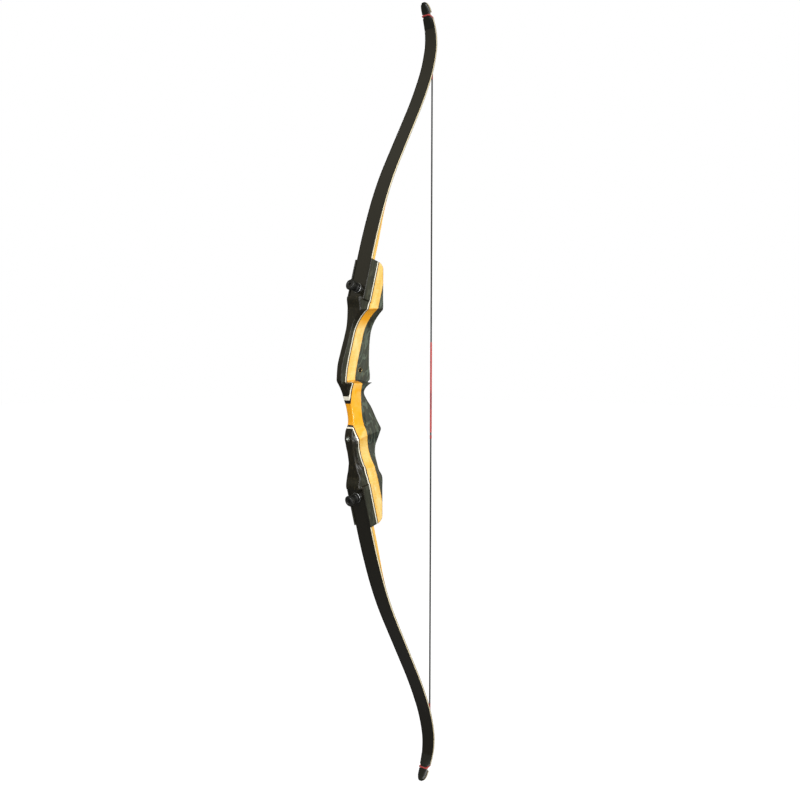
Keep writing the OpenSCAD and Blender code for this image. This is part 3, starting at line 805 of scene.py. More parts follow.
def rod(shape: bmesh.types.BMesh, mouth: Vector, inward: Vector, radius: float, depth: float,
        sides: int = 64) -> None:
    """Adds a cylinder that starts at a mouth and runs inward.

    Args:
        shape: the bmesh that takes it.
        mouth: centre of its first face.
        inward: direction of its axis.
        radius: its radius.
        depth: its length.
        sides: facets round it.
    """
    turn = inward.to_track_quat("Z", "Y").to_matrix().to_4x4()
    place = Matrix.Translation(mouth + inward.normalized() * depth / 2) @ turn
    bmesh.ops.create_cone(shape, cap_ends=True, segments=sides, radius1=radius, radius2=radius,
                          depth=depth, matrix=place)


def bring(piece: bpy.types.Object, end: End, place: Matrix = UNMOVED) -> None:
    """Takes the mesh of a piece made for the upper end to an end of the bow.

    Args:
        piece: the object, which stays at the origin.
        end: the end where its mesh goes.
        place: the piece's frame at the upper end.
    """
    piece.data.transform(end.mirror @ place)
    if end is End.LOWER:
        piece.data.flip_normals()


def dress(piece: bpy.types.Object, finish: Finish) -> None:
    """Gives a piece its finish.

    Args:
        piece: the object, new or from the frame.
        finish: its finish.
    """
    material = finish.material()
    if piece.type == "MESH" and piece.data.materials and piece.get("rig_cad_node"):
        for place in piece.material_slots:
            place.link = "OBJECT"
            place.material = material
    else:
        piece.data.materials.clear()
        piece.data.materials.append(material)
    LOG.info("%s: %s", piece.name, finish.name)


# The bow's sub-assemblies


@dataclass(frozen=True)
class Layer:
    """One lamination of the riser between two glue lines."""

    name: str
    front: float
    rear: float
    finish: Finish
    slot: str
    above: bool = True
    below: bool = True


@dataclass(frozen=True)
class LimbPad:
    """Where a limb lies on the riser."""

    front: float = 15.3 * MM
    height: float = 173.6 * MM
    lean: float = LEAN
    limb_depth: float = 10 * MM
    bolt_at: float = 17 * MM
    pin_at: float = 48 * MM

    @property
    def place(self) -> Matrix:
        """Frame of the pad: Z along it from the limb's butt, -Y out of the limb's back."""
        return Matrix.Translation((0, -self.front, self.height)) @ Matrix.Rotation(-self.lean, 4, "X")

    def on_pad(self, along: float) -> Vector:
        """Point on the pad's surface at a distance from the butt."""
        return self.place @ Vector((0, self.limb_depth, along))

    @property
    def inward(self) -> Vector:
        """Direction into the riser, square to the pad."""
        return self.place.to_3x3() @ Vector((0, 1, 0))


@dataclass(frozen=True)
class RiserForm:
    """Carved form of the riser in millimetres, as sections blended along its height."""

    half: float = 21.5
    end_z: float = 263.6
    end_rear: float = 36.5
    end_round: float = 20.0
    step_front: float = 23.0
    throat: float = 0.2
    grip: float = 13.5
    facet: float = 7.2
    swell: float = 16.7
    scoop: float = 12.6
    scoop_radius: float = 75.0
    scoop_rear: float = -4.0
    scoop_height: float = -105.0
    scoop_span: float = 45.0
    scoop_lean: float = math.radians(15)
    side_share: float = 0.35
    waist_share: float = 0.75
    heel: float = 42.7
    fingers: float = 27.9
    shelf_front: float = 48.5
    shelf_z: float = 22.0
    shelf_peak: float = -12.0
    crown: float = 40.0
    camber: float = 130.0
    past_centre: float = 3.0
    window_height: float = 83.0
    window_round: float = 59.0
    window_rear: float = 23.0
    waist_rear: float = 23.0
    waist_facet: float = 8.0
    pocket_length: float = 73.0
    pad_rise: float = 90.0
    face_inset: float = 4.0
    back_flat: float = 0.5
    nose_flat: float = 4.0
    scoop_reach: float = 80.0
    ring_step: float = 2.0

    def stations(self, pad: LimbPad) -> list[tuple[float, ...]]:
        """The sections from the lower end to the upper end.

        Args:
            pad: where the limbs lie.

        Returns:
            Height, front, rear, half front facet, half width and both corner radii of each.
        """
        butt = pad.height / MM
        lean = self.pad_rise * math.tan(pad.lean)
        face = self.half - self.face_inset
        return [
            (-self.end_z, lean - self.step_front, self.end_rear, face, self.half, 3.5, 4),
            (-butt, -self.step_front, self.end_rear, face, self.half, 3.5, 5),
            (-153, -21, self.end_rear, face, self.half, 3, 6),
            (-140, -22.5, self.end_rear - 7.5, 12.5, self.half - 1.5, 2, 6),
            (-117, -25.5, self.waist_rear, self.waist_facet, self.swell + 2.7, 2, 7),
            (-97, -30.5, self.waist_rear + 2, 9, self.swell + 1.2, 2, 8),
            (-85, -33.6, self.heel - 11.8, 10.5, self.swell + 0.8, 2.5, 10),
            (-70, -32.6, self.heel - 2.6, 9.8, self.swell + 0.2, 2.1, 12.6),
            (-66, -31.4, self.heel, 9.4, self.swell, 2, 13),
            (-59, -self.fingers - 0.4, self.heel - 4.4, self.facet + 1.2, self.swell - 0.6, 2, 13),
            (-48, -self.fingers, self.heel - 11.2, self.facet + 0.6, self.grip + 1.5, 2, 12.5),
            (-25, -self.fingers - 4.9, 18.2, self.facet + 0.8, self.grip + 0.3, 2, 12.5),
            (-13, -37.3, 8, self.facet + 1.5, self.grip, 2, 12.5),
            (0, -41.5, self.throat, self.facet + 2.5, self.grip, 2, 12.5),
            (9, -45.2, 3.4, self.facet + 4, self.grip + 1.5, 2.5, 12.5),
            (16, 1.5 - self.shelf_front, 12, 14.5, 16.5, 2.5, 12),
            (21, -self.shelf_front, 22, 16.5, 17.5, 2.5, 12),
            (26, -self.shelf_front, self.window_rear + 2.5, 16.8, 18.5, 2.5, 8),
            (50, -46, self.window_rear, 17, 19, 2.5, 6),
            (74, -38.5, self.window_rear, 17.2, 19, 2.5, 6),
            (98, -30, self.window_rear + 2, 17.5, 19.5, 2.5, 6),
            (122, -23.5, self.window_rear + 6.5, face, self.half - 1, 3, 6),
            (153, -21.2, self.end_rear, face, self.half, 3, 5),
            (butt, -self.step_front, self.end_rear, face, self.half, 3.5, 5),
            (self.end_z, lean - self.step_front, self.end_rear, face, self.half, 3.5, 4)]

    @staticmethod
    def blended(table: list[tuple[float, ...]], z: float) -> list[float]:
        """Values of the sections at a height, on smooth curves through the table.

        Args:
            table: the sections from the lower end to the upper end.
            z: the height.

        Returns:
            Front, rear, half front facet, half width and both corner radii.
        """
        last = len(table) - 1
        i = next(j for j in range(last) if z <= table[j + 1][0] or j == last - 1)
        height = table[i + 1][0] - table[i][0]
        t = min(1.0, max(0.0, (z - table[i][0]) / height))

        def slope(j: int, k: int) -> float:
            """Slope of one value at a section."""
            before, after = table[max(0, j - 1)], table[min(last, j + 1)]
            return (after[k] - before[k]) / (after[0] - before[0])

        return [(2 * t ** 3 - 3 * t ** 2 + 1) * table[i][k] + (t ** 3 - 2 * t ** 2 + t) * height * slope(i, k)
                + (3 * t ** 2 - 2 * t ** 3) * table[i + 1][k] + (t ** 3 - t ** 2) * height * slope(i + 1, k)
                for k in range(1, 7)]

    def ring(self, table: list[tuple[float, ...]], z: float) -> list[Vector]:
        """Outline of the section at a height, in metres.

        Args:
            table: the sections.
            z: the height.

        Returns:
            The points round the section.
        """
        front, rear, flat, half, nose, back = self.blended(table, z)
        nose_steps, back_steps = 6, 8
        back = min(back, half - self.back_flat)
        waist = max(0.0, 1 - ((z - self.scoop_height) / self.scoop_span) ** 2)
        share = self.side_share + (self.waist_share - self.side_share) * waist
        side = [(flat - nose * (1 - math.sin(q)), front + nose * (1 - math.cos(q)))
                for q in (math.pi / (2 * nose_steps) * i for i in range(nose_steps + 1))]
        widest = (half, max(front + nose + self.nose_flat, rear - back - (rear - front) * share))
        heel = [(half - back * (1 - math.cos(q)), rear - back * (1 - math.sin(q)))
                for q in (math.pi / (2 * back_steps) * i for i in range(back_steps + 1))]
        side += self.eased(side[-1], widest, heel[0]) + heel
        half_ring = [(0.0, front), *side, (0.0, rear)]
        whole = half_ring + [(-x, y) for x, y in reversed(half_ring[1:-1])]
        return [Vector((x, y, z)) * MM for x, y in whole]

    @staticmethod
    def eased(before: tuple[float, float], corner: tuple[float, float],
              after: tuple[float, float]) -> list[tuple[float, float]]:
        """A sanded corner between two flats.

        Args:
            before: where the first flat starts.
            corner: where the flats would meet.
            after: where the second flat stops.

        Returns:
            The points of the corner.
        """
        reach, most, steps = 6.0, 0.45, 6
        made = []
        ends = []
        for point in (before, after):
            share = min(most, reach / math.dist(point, corner))
            ends.append(tuple(c + (p - c) * share for p, c in zip(point, corner)))
        for i in range(steps + 1):
            t = i / steps
            made.append(tuple((1 - t) ** 2 * a + 2 * t * (1 - t) * c + t ** 2 * b
                              for a, c, b in zip(ends[0], corner, ends[1])))
        return made

    def end_tool(self, pad: LimbPad) -> bpy.types.Object:
        """The side view of both ends, with rounded rear corners.

        Args:
            pad: where the limbs lie.

        Returns:
            A closed tool whose inside is kept.
        """
        ahead, beside, steps = 90.0, 60, 12
        painted_turn_shade, along = math.sin(pad.lean), math.cos(pad.lean)
        reach = -pad.front / MM * painted_turn_shade + pad.height / MM * along + self.pocket_length
        y = self.end_rear - self.end_round
        z = (reach - self.end_round - y * painted_turn_shade) / along
        upper = [(-ahead, (reach + ahead * painted_turn_shade) / along)]
        for i in range(steps + 1):
            q = pad.lean + (math.pi / 2 - pad.lean) * i / steps
            upper.append((y + self.end_round * math.sin(q), z + self.end_round * math.cos(q)))
        side = upper + [(a, -b) for a, b in reversed(upper)]
        rings = [[Vector((x, a, b)) * MM for a, b in side] for x in (-beside, beside)]
        return make_piece("ends", loft(rings))

    def scoop_tool(self, side: int) -> bpy.types.Object:
        """The roller that scoops one side of the waist, from the heel to the lower cheek.

        Args:
            side: 1 for the archer's left, -1 for the right.

        Returns:
            The roller, with its axis a little higher at the rear.
        """
        axis = Vector((0, math.cos(self.scoop_lean), math.sin(self.scoop_lean)))
        heart = Vector((side * (self.scoop + self.scoop_radius), self.scoop_rear, self.scoop_height)) * MM
        reach = self.scoop_reach * MM
        shape = bmesh.new()
        rod(shape, heart - axis * reach, axis, self.scoop_radius * MM, 2 * reach, sides=160)
        return make_piece("scoop", shape)

    def window_tool(self) -> bpy.types.Object:
        """The sight window over the crowned shelf, with its scooped top.

        Returns:
            A closed tool whose inside is removed.
        """
        width, reach, floor, steps = 62, 70, self.shelf_z - 12, 40
        top = self.shelf_z + self.window_height
        rings = []
        for i in range(steps + 1):
            x = -self.past_centre + width * (i / steps) ** 2
            off = x + self.past_centre
            crown = self.shelf_z - self.crown + math.sqrt(max(0.0, self.crown ** 2 - off ** 2))
            scoop = top + math.sqrt(max(0.0, self.window_round ** 2 - (off - self.window_round) ** 2))
            ring = []
            for y in range(-reach, reach + 1, 2):
                camber = self.shelf_z - self.camber + math.sqrt(self.camber ** 2 - (y - self.shelf_peak) ** 2)
                ring.append(Vector((x, y, max(floor, min(crown, camber)))) * MM)
            ring += [Vector((x, y, scoop)) * MM for y in (reach, -reach)]
            rings.append(ring)
        return make_piece("window", loft(rings))


@dataclass
class Riser:
    """Laminated riser: sanded as one blank, then parted along its glue lines."""

    form: RiserForm = RiserForm()
    lines: GlueLines = GlueLines()
    pad: LimbPad = LimbPad()
    white: float = 2 * MM
    black: float = 2 * MM
    core: float = 20.5 * MM
    front_reach: float = 60 * MM
    rear_reach: float = 120 * MM
    parting: float = -34 * MM
    grain: float = 0.8 * MM
    glue: float = 0.05 * MM
    insert_radius: float = 6 * MM
    insert_depth: float = 19 * MM
    pin_radius: float = 3 * MM
    pin_depth: float = 5 * MM
    cheek_rise: float = 1.5 * MM
    cheek_foot: float = 4.4 * MM
    pocket_half: float = 18.8 * MM
    end_gap: float = 0.4 * MM
    bore_clear: float = 8 * MM

    def layers(self) -> list[Layer]:
        """The laminations, from the front to the rear.

        Returns:
            The layers, with those that the grip parts given for each end.
        """
        half = self.white / 2
        black = half + self.black
        core = black + self.core
        made = []
        for end in End:
            sides = {"above": end is End.UPPER, "below": end is End.LOWER}
            made += [
                Layer(end.name("riser_front"), -self.front_reach, -half, BLACK_WOOD, "black_wood", **sides),
                Layer(end.name("white_veneer"), -half, half, WHITE_VENEER, "white_veneer", **sides),
                Layer(end.name("black_veneer"), half, black, BLACK_VENEER, "black_veneer", **sides)]
        made.append(Layer("riser_core", black, core, YELLOW_WOOD, "yellow_wood"))
        made.append(Layer("riser_grip_block", core, self.rear_reach, GREEN_WOOD, "green_wood"))
        return made

    def bores(self, shape: bmesh.types.BMesh, proud: float) -> None:
        """Adds a rod for each drilled hole.

        Args:
            shape: the bmesh that takes the rods.
            proud: how far each rod stands out of its mouth.
        """
        for end in End:
            for along, radius, depth in ((self.pad.bolt_at, self.insert_radius, self.insert_depth),
                                         (self.pad.pin_at, self.pin_radius, self.pin_depth)):
                mouth = end.mirror @ self.pad.on_pad(along)
                inward = end.mirror.to_3x3() @ self.pad.inward
                rod(shape, mouth - inward * proud, inward, radius + self.glue, depth + self.glue + proud)
        for node, inward in (("stabiliser_bushing", Vector((0, 1, 0))),
                             ("plunger_bushing", Vector((-1, 0, 0)))):
            low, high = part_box(node)
            middle, half = (low + high) / 2, (high - low) / 2
            reach = abs(half.dot(inward))
            through = proud if node == "plunger_bushing" else 0
            rod(shape, middle - inward * (reach + proud), inward, half.z + self.glue,
                2 * reach + proud + through)

    def blank(self) -> bpy.types.Object:
        """The whole carved riser as one sanded solid, with clean bores.

        Returns:
            The blank.
        """
        table = self.form.stations(self.pad)
        count = round(2 * self.form.end_z / self.form.ring_step)
        heights = [self.form.end_z * (2 * i / count - 1) for i in range(count + 1)]
        blank = make_piece("riser_blank", loft([self.form.ring(table, z) for z in heights]))
        half, far, deep = self.form.half * MM, 100 * MM, 24 * MM
        for end in End:
            place = end.mirror @ self.pad.place
            shape_with(blank, block(place, Vector((-half, -self.cheek_rise, -self.cheek_foot)),
                                    Vector((half, deep, far))), Cut.JOIN)
        for side in (-1, 1):
            shape_with(blank, self.form.scoop_tool(side), Cut.REMOVE)
        shape_with(blank, self.form.end_tool(self.pad), Cut.KEEP)
        shape_with(blank, self.form.window_tool(), Cut.REMOVE)
        for end in End:
            place = end.mirror @ self.pad.place
            shape_with(blank, block(place, Vector((-far, -far, 0)), Vector((far, -self.cheek_rise, far))),
                       Cut.REMOVE)
            shape_with(blank, block(place, Vector((-self.pocket_half, -far, -self.end_gap)),
                                    Vector((self.pocket_half, self.pad.limb_depth, far))), Cut.REMOVE)
        net = blank.modifiers.new("net", "REMESH")
        net.mode = "VOXEL"
        net.voxel_size = self.grain
        settle(blank)
        self.sand(blank.data)
        holes = bmesh.new()
        self.bores(holes, self.bore_clear)
        shape_with(blank, make_piece("bores", holes), Cut.REMOVE)
        return blank

    @staticmethod
    def sand(mesh: bpy.types.Mesh, passes: int = 3) -> None:
        """Softens every edge of the blank.

        Args:
            mesh: the blank's mesh.
            passes: how many times it is sanded.
        """
        shape = bmesh.new()
        shape.from_mesh(mesh)
        for _ in range(passes):
            bmesh.ops.smooth_vert(shape, verts=shape.verts, factor=0.5,
                                  use_axis_x=True, use_axis_y=True, use_axis_z=True)
        shape.to_mesh(mesh)
        shape.free()

    def slab(self, layer: Layer) -> bpy.types.Object:
        """The space between a layer's two glue lines.

        Args:
            layer: the lamination.

        Returns:
            A closed tool, wider and longer than the riser.
        """
        width, length, steps = 60 * MM, 320 * MM, 48
        middle = self.lines.radius - (layer.front + layer.rear) / 2
        split = math.asin(self.parting / self.lines.radius)
        start = -self.lines.lean if layer.below else split
        stop = self.lines.lean if layer.above else split
        size = Matrix.Diagonal((width, (layer.rear - layer.front) / 2, 1, 1))

        def painted_turn_shade(angle: float, onward: float) -> Matrix:
            """Frame of the slab's section at an angle, moved onward along the tangent."""
            arm = Matrix.Translation(self.lines.centre) @ Matrix.Rotation(-angle, 4, "X")
            return arm @ Matrix.Translation((0, -middle, onward)) @ size

        frames = [painted_turn_shade(start, -length)] if layer.below else []
        frames += [painted_turn_shade(start + (stop - start) * i / steps, 0.0) for i in range(steps + 1)]
        frames += [painted_turn_shade(stop, length)] if layer.above else []
        return make_piece("slab", swept(SQUARE, frames))

    def build(self) -> None:
        """Makes every lamination of the riser."""
        blank = self.blank()
        for layer in self.layers():
            piece = blank.copy()
            piece.data = blank.data.copy()
            piece.name = layer.name.replace("riser_", "") + "_wood"
            bpy.context.scene.collection.objects.link(piece)
            shape_with(piece, self.slab(layer), Cut.KEEP, crease=55)
            dress(piece, layer.finish)
            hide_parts(layer.name)
            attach(piece, "riser")
        bpy.data.objects.remove(blank)


@dataclass
class Bushing:
    """A threaded bushing, glued into the riser."""

    node: str
    outward: Vector
    finish: Finish
    inner: Finish
    wall: float = 3.45 * MM
    thread: float = 0.45 * MM
    pitch: float = 1.06 * MM
    chamfer: float = 0.5 * MM
    lip: float = 0.3 * MM
    thread_wall: float = 0.25 * MM

    def build(self) -> None:
        """Makes the chamfered sleeve and the thread inside it."""
        low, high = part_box(self.node)
        middle, half = (low + high) / 2, (high - low) / 2
        length = 2 * abs(half.dot(self.outward))
        outer = half.z
        root = self.wall + self.thread
        joint = root + self.thread_wall
        top = length - self.chamfer
        ridges = []
        for i in range(int((length - 4 * self.chamfer) / self.pitch)):
            h = 2 * self.chamfer + i * self.pitch
            ridges += [(self.wall, h), (root, h + self.pitch / 2)]
        thread = [(joint, 0), (root, 0), *ridges, (self.wall, length - 1.8 * self.chamfer),
                  (root, top), (joint, top)]
        sleeve = [(joint, 0), (joint, top), (joint + self.chamfer / 2, length),
                  (outer - self.lip, length), (outer, length - self.lip), (outer, self.lip),
                  (outer - self.lip, 0)]
        turn = self.outward.to_track_quat("Z", "Y").to_matrix().to_4x4()
        place = Matrix.Translation(middle - self.outward * length / 2) @ turn
        for part, profile, finish in (("sleeve", sleeve, self.finish), ("thread", thread, self.inner)):
            shape = turned(profile, steps=64)
            bmesh.ops.transform(shape, matrix=place, verts=shape.verts)
            piece = make_piece(f"{self.node}_{part}", shape, crease=30)
            dress(piece, finish)
            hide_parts(self.node)
            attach(piece, "riser")


@dataclass
class LimbBolt:
    """Knobbed limb bolt with its washer."""

    pad: LimbPad = LimbPad()
    washer_radius: float = 9.5 * MM
    washer_hole: float = 4.3 * MM
    washer_height: float = 2 * MM
    seat: float = 2.3 * MM
    knob_radius: float = 10 * MM
    knob_height: float = 20 * MM
    head: float = 8 * MM
    neck_radius: float = 7.3 * MM
    foot_radius: float = 8.5 * MM
    grooves: int = 18
    groove_radius: float = 1 * MM
    shank_radius: float = 3.95 * MM
    shank_length: float = 27 * MM
    socket: float = 3.2 * MM
    socket_depth: float = 5 * MM
    dish: float = 1 * MM
    neck_top: float = 0.5 * MM
    neck_foot: float = 1 * MM
    rim: float = 1.5 * MM
    foot_edge: float = 0.8 * MM
    shank_edge: float = 0.6 * MM
    groove_out: float = 0.35 * MM
    washer_edge: float = 0.35 * MM
    knob_round: float = 0.22 * MM
    washer_round: float = 0.12 * MM

    @property
    def place(self) -> Matrix:
        """Frame of the upper bolt: Z out of the limb's back."""
        outward = Matrix.Rotation(math.pi / 2, 4, "X")
        return self.pad.place @ Matrix.Translation((0, 0, self.pad.bolt_at)) @ outward

    def knob(self, end: End) -> bpy.types.Object:
        """The knob with its shank.

        Args:
            end: the end that names it.

        Returns:
            The piece, standing on its own Z.
        """
        top = self.seat + self.knob_height
        under = top - self.head
        foot = self.seat + (self.knob_height - self.head) / 3
        face = self.knob_radius / 2
        dish = top - self.dish
        profile = [(0, -self.shank_length), (self.shank_radius - self.shank_edge, -self.shank_length),
                   (self.shank_radius, -self.shank_length + self.shank_edge),
                   (self.shank_radius, self.seat), (self.foot_radius - self.foot_edge, self.seat),
                   (self.foot_radius, self.seat + self.foot_edge), (self.foot_radius, foot),
                   (self.neck_radius, foot + self.neck_foot), (self.neck_radius, under - self.neck_top),
                   (self.knob_radius - self.rim, under), (self.knob_radius, under + self.rim),
                   (self.knob_radius, top - self.rim), (self.knob_radius - self.rim, top),
                   (face + 1 * MM, top), (face, dish), (0, dish)]
        piece = make_piece(end.name("limb_bolt_knob"), turned(profile, steps=96))
        up = Vector((0, 0, 1))
        flutes = bmesh.new()
        for i in range(self.grooves):
            angle = math.tau * i / self.grooves
            out = self.knob_radius + self.groove_out
            mouth = Vector((out * math.cos(angle), out * math.sin(angle), under - 1 * MM))
            rod(flutes, mouth, up, self.groove_radius, self.knob_height, sides=16)
        shape_with(piece, make_piece("flutes", flutes), Cut.REMOVE)
        socket = bmesh.new()
        floor = Vector((0, 0, top - self.socket_depth))
        rod(socket, floor, up, self.socket, 2 * self.socket_depth, sides=6)
        shape_with(piece, make_piece("socket", socket), Cut.REMOVE)
        round_edges(piece, self.knob_round)
        return piece

    def washer(self, end: End) -> bpy.types.Object:
        """The washer.

        Args:
            end: the end that names it.

        Returns:
            The piece, lying on its own XY.
        """
        hole, out, top, edge = self.washer_hole, self.washer_radius, self.washer_height, self.washer_edge
        profile = [(hole, 0), (out, 0), (out, top - edge), (out - edge, top), (hole + edge, top),
                   (hole, top - edge)]
        piece = make_piece(end.name("limb_bolt_washer"), turned(profile, steps=96))
        round_edges(piece, self.washer_round)
        return piece

    def build(self) -> None:
        """Makes both bolts and both washers."""
        for end in End:
            for piece, node, body, finish, slot in (
                    (self.knob(end), "bolt", f"{end.value}_bolt", BLACK_METAL, "black_metal"),
                    (self.washer(end), "washer", "riser", STEEL, "steel")):
                bring(piece, end, self.place)
                dress(piece, finish)
                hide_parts(end.name(node))
                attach(piece, body)


@dataclass
class Limb:
    """Both limbs: glass, core, glass, butt wedge and tip overlay, laid along one run of arcs."""

    pad: LimbPad = LimbPad()
    arcs: tuple[tuple[float, float], ...] = (
        (84, 0), (96, 4.5), (95, 8.5), (110, 0), (80, -6), (60, -12.5), (50, -26.5), (45, -12))
    glass: float = 0.8 * MM
    core_butt: float = 2.7 * MM
    core_tip: float = 1.5 * MM
    wedge_flat: float = 92 * MM
    wedge_length: float = 210 * MM
    overlay: float = 3 * MM
    overlay_length: float = 50 * MM
    nock_from_tip: float = 25 * MM
    butt_width: float = 37 * MM
    blade_width: float = 35.4 * MM
    recurve_width: float = 33.4 * MM
    shoulder_width: float = 24 * MM
    head_width: float = 21.5 * MM
    neck_width: float = 14 * MM
    butt_taper: float = 0.4 * MM
    recurve_taper: float = 2.4 * MM
    shoulder_taper: float = 5 * MM
    nock_half: float = 6 * MM
    head_power: float = 0.75
    head_least: float = 0.06
    loop_radius: float = 1.6 * MM
    gap: float = 0.3 * MM
    groove: float = 0.7 * MM
    step: float = 4 * MM
    tip_step: float = 1.0 * MM
    fine_from: float = 10 * MM
    least_depth: float = 0.04 * MM
    tip_over: float = 0.3 * MM
    glass_round: float = 0.9
    wedge_round: float = 0.6 * MM
    nock_root: float = 4 * MM
    nock_reach: float = 20 * MM
    nock_rise: float = math.radians(8)
    nock_fall: float = math.radians(-44)
    overlay_run: float = 20 * MM
    overlay_edge: float = 0.15
    bolt_hole: float = 4.3 * MM
    bolt_hole_depth: float = 12 * MM
    pin_hole: float = 3.05 * MM
    pin_hole_depth: float = 5.3 * MM
    bend_from: float = 73 * MM
    bend_to: float = 185 * MM
    bend_depth: float = 5 * MM

    @property
    def length(self) -> float:
        """Length of a limb along its back."""
        return sum(length for length, _ in self.arcs) * MM

    @property
    def nock(self) -> float:
        """Distance from the butt to the nock."""
        return self.length - self.nock_from_tip

    def back(self, s: float) -> tuple[Vector, float]:
        """The limb's back at a distance from the butt.

        Args:
            s: the distance along the back.

        Returns:
            The point and the lean there.
        """
        point = Vector((0, -self.pad.front, self.pad.height))
        lean = self.pad.lean
        left = s
        for i, (length, turn) in enumerate(self.arcs):
            last = i == len(self.arcs) - 1
            run = left if last else min(left, length * MM)
            angle = math.radians(turn) * run / (length * MM)
            if abs(angle) < 1e-9:
                point = point + Vector((0, math.sin(lean), math.cos(lean))) * run
            else:
                radius = run / angle
                point = point + Vector((0, math.cos(lean) - math.cos(lean + angle),
                                        math.sin(lean + angle) - math.sin(lean))) * radius
            lean += angle
            left -= run
            if left <= 0:
                break
        return point, lean

    def under(self, s: float, depth: float) -> Vector:
        """Point at a depth below the back."""
        point, lean = self.back(s)
        return point + Vector((0, math.cos(lean), -math.sin(lean))) * depth

    def core_low(self, s: float) -> float:
        """Depth of the glue line between the core and the belly glass."""
        return self.glass + self.core_butt + (self.core_tip - self.core_butt) * s / self.length

    def belly_low(self, s: float) -> float:
        """Depth of the belly."""
        return self.core_low(s) + self.glass

    def wedge_low(self, s: float) -> float:
        """Depth of the butt wedge's face.

        Args:
            s: the distance from the butt.

        Returns:
            The depth below the back.
        """
        thin = self.belly_low(s)
        if s >= self.wedge_length:
            return thin
        share = max(0.0, (s - self.wedge_flat) / (self.wedge_length - self.wedge_flat))
        return thin + (self.pad.limb_depth - thin) * (1 + math.cos(math.pi * share)) / 2

    def width(self, s: float) -> float:
        """Width of the limb.

        Args:
            s: the distance from the butt.

        Returns:
            The whole width there.
        """
        run = [sum(length for length, _ in self.arcs[:n]) * MM for n in range(len(self.arcs) + 1)]
        shoulder, head = self.nock - self.nock_half, self.nock + self.nock_half
        stops = ((0, self.butt_width), (run[2], self.butt_width - self.butt_taper),
                 (run[3], self.blade_width), (run[5], self.recurve_width),
                 (run[6], self.recurve_width - self.recurve_taper),
                 ((run[6] + shoulder) / 2, self.recurve_width - self.shoulder_taper),
                 (shoulder, self.shoulder_width), (head, self.head_width))
        if s > head:
            rise = math.asin(min(1.0, (s - head) / (self.length - head)))
            return self.head_width * max(self.head_least, math.cos(rise) ** self.head_power)
        for (a, wide), (b, next_wide) in zip(stops, stops[1:]):
            if s <= b:
                return wide + (next_wide - wide) * (s - a) / (b - a)
        return self.head_width

    def stations(self, start: float, stop: float) -> list[float]:
        """Distances from the butt at which a layer is drawn, closer near the tip.

        Args:
            start: where the layer starts.
            stop: where it stops.

        Returns:
            The distances.
        """
        slack, finest, last = 0.05 * MM, 0.15 * MM, 4 * MM
        made, s = [start], start
        while s < stop - slack:
            left = stop - s
            near = self.tip_step if left > last else max(finest, left / 3)
            s = min(stop, s + (self.step if s < self.nock - self.fine_from else near))
            made.append(s)
        return made

    def section(self, thickness: float, upper: float, lower: float) -> list[tuple[float, float]]:
        """Section of a layer with rounded edges, in halves of its width and thickness.

        Args:
            thickness: the layer's thickness.
            upper: radius of its upper edges.
            lower: radius of its lower edges.

        Returns:
            The corners of the section.
        """
        painted_turn_shade, high, steps = self.blade_width / 2, thickness / 2, 4
        made = []
        for x, y, radius in ((-1, -1, upper), (1, -1, upper), (1, 1, lower), (-1, 1, lower)):
            for i in range(steps + 1 if radius else 1):
                angle = math.pi / 2 / steps * (i if x * y > 0 else steps - i)
                made.append((x * (1 - radius / painted_turn_shade * (1 - math.sin(angle))),
                             y * (1 - radius / high * (1 - math.cos(angle)))) if radius else (x, y))
        return made

    def strip(self, top: Depth, low: Depth, start: float, stop: float,
              section: Sequence[tuple[float, float]]) -> bmesh.types.BMesh:
        """One layer between two depths below the back.

        Args:
            top: its upper depth along the limb.
            low: its lower depth along the limb.
            start: where it starts, from the butt.
            stop: where it stops.
            section: its section, in halves of its width and thickness.

        Returns:
            The layer's bmesh.
        """
        _, lean = self.back(self.length)
        stop = min(stop, self.length + low(self.length) * math.tan(lean) + self.tip_over)
        frames = []
        for s in self.stations(start, stop):
            _, lean = self.back(s)
            thick = max(low(s) - top(s), self.least_depth)
            middle = top(s) + thick / 2
            painted_turn_shade = self.width(s - low(self.length) * math.tan(lean) if s > self.nock else s)
            frames.append(Matrix.Translation(self.under(s, middle)) @ Matrix.Rotation(-lean, 4, "X")
                          @ Matrix.Diagonal((painted_turn_shade / 2, thick / 2, 1, 1)))
        return swept(section, frames)

    def nock_tools(self) -> list[bpy.types.Object]:
        """Tools that cut both side nocks and the groove over the back.

        Returns:
            The tools, whose insides are removed.
        """
        room = self.loop_radius + self.gap
        depth = self.groove - self.overlay - room
        root = depth - self.nock_root
        point, lean = self.back(self.nock)
        place = Matrix.Translation(point) @ Matrix.Rotation(-lean, 4, "X")
        reach, beside, aside = self.nock_reach, 40 * MM, 30 * MM
        up, down = self.nock_rise, self.nock_fall
        fan = ((root, room), (depth, room),
               (depth + reach * math.cos(up), reach * math.sin(up) + room),
               (depth + reach * math.cos(down), reach * math.sin(down) - room * 1.4),
               (depth, -room * 1.2), (root, -room))
        tools = []
        for side in (-1, 1):
            shape = bmesh.new()
            corners = [shape.verts.new((side * self.neck_width / 2, y, z)) for y, z in fan]
            face = bmesh.ops.contextual_create(shape, geom=corners)["faces"]
            grown = bmesh.ops.extrude_face_region(shape, geom=face)["geom"]
            bmesh.ops.translate(shape, vec=(side * beside, 0, 0),
                                verts=[v for v in grown if isinstance(v, bmesh.types.BMVert)])
            bmesh.ops.transform(shape, matrix=place, verts=shape.verts)
            tools.append(make_piece("side_nock", shape))
        groove = bmesh.new()
        mouth = self.under(self.nock, depth) - Vector((aside, 0, 0))
        rod(groove, mouth, Vector((1, 0, 0)), room, 2 * aside, sides=48)
        tools.append(make_piece("back_groove", groove))
        return tools

    def overlay_top(self, s: float) -> float:
        """Depth of the overlay's face, which thins at its lower end."""
        share = (s - self.length + self.overlay_length) / self.overlay_run
        return -self.overlay * min(1.0, self.overlay_edge + (1 - self.overlay_edge) * share)

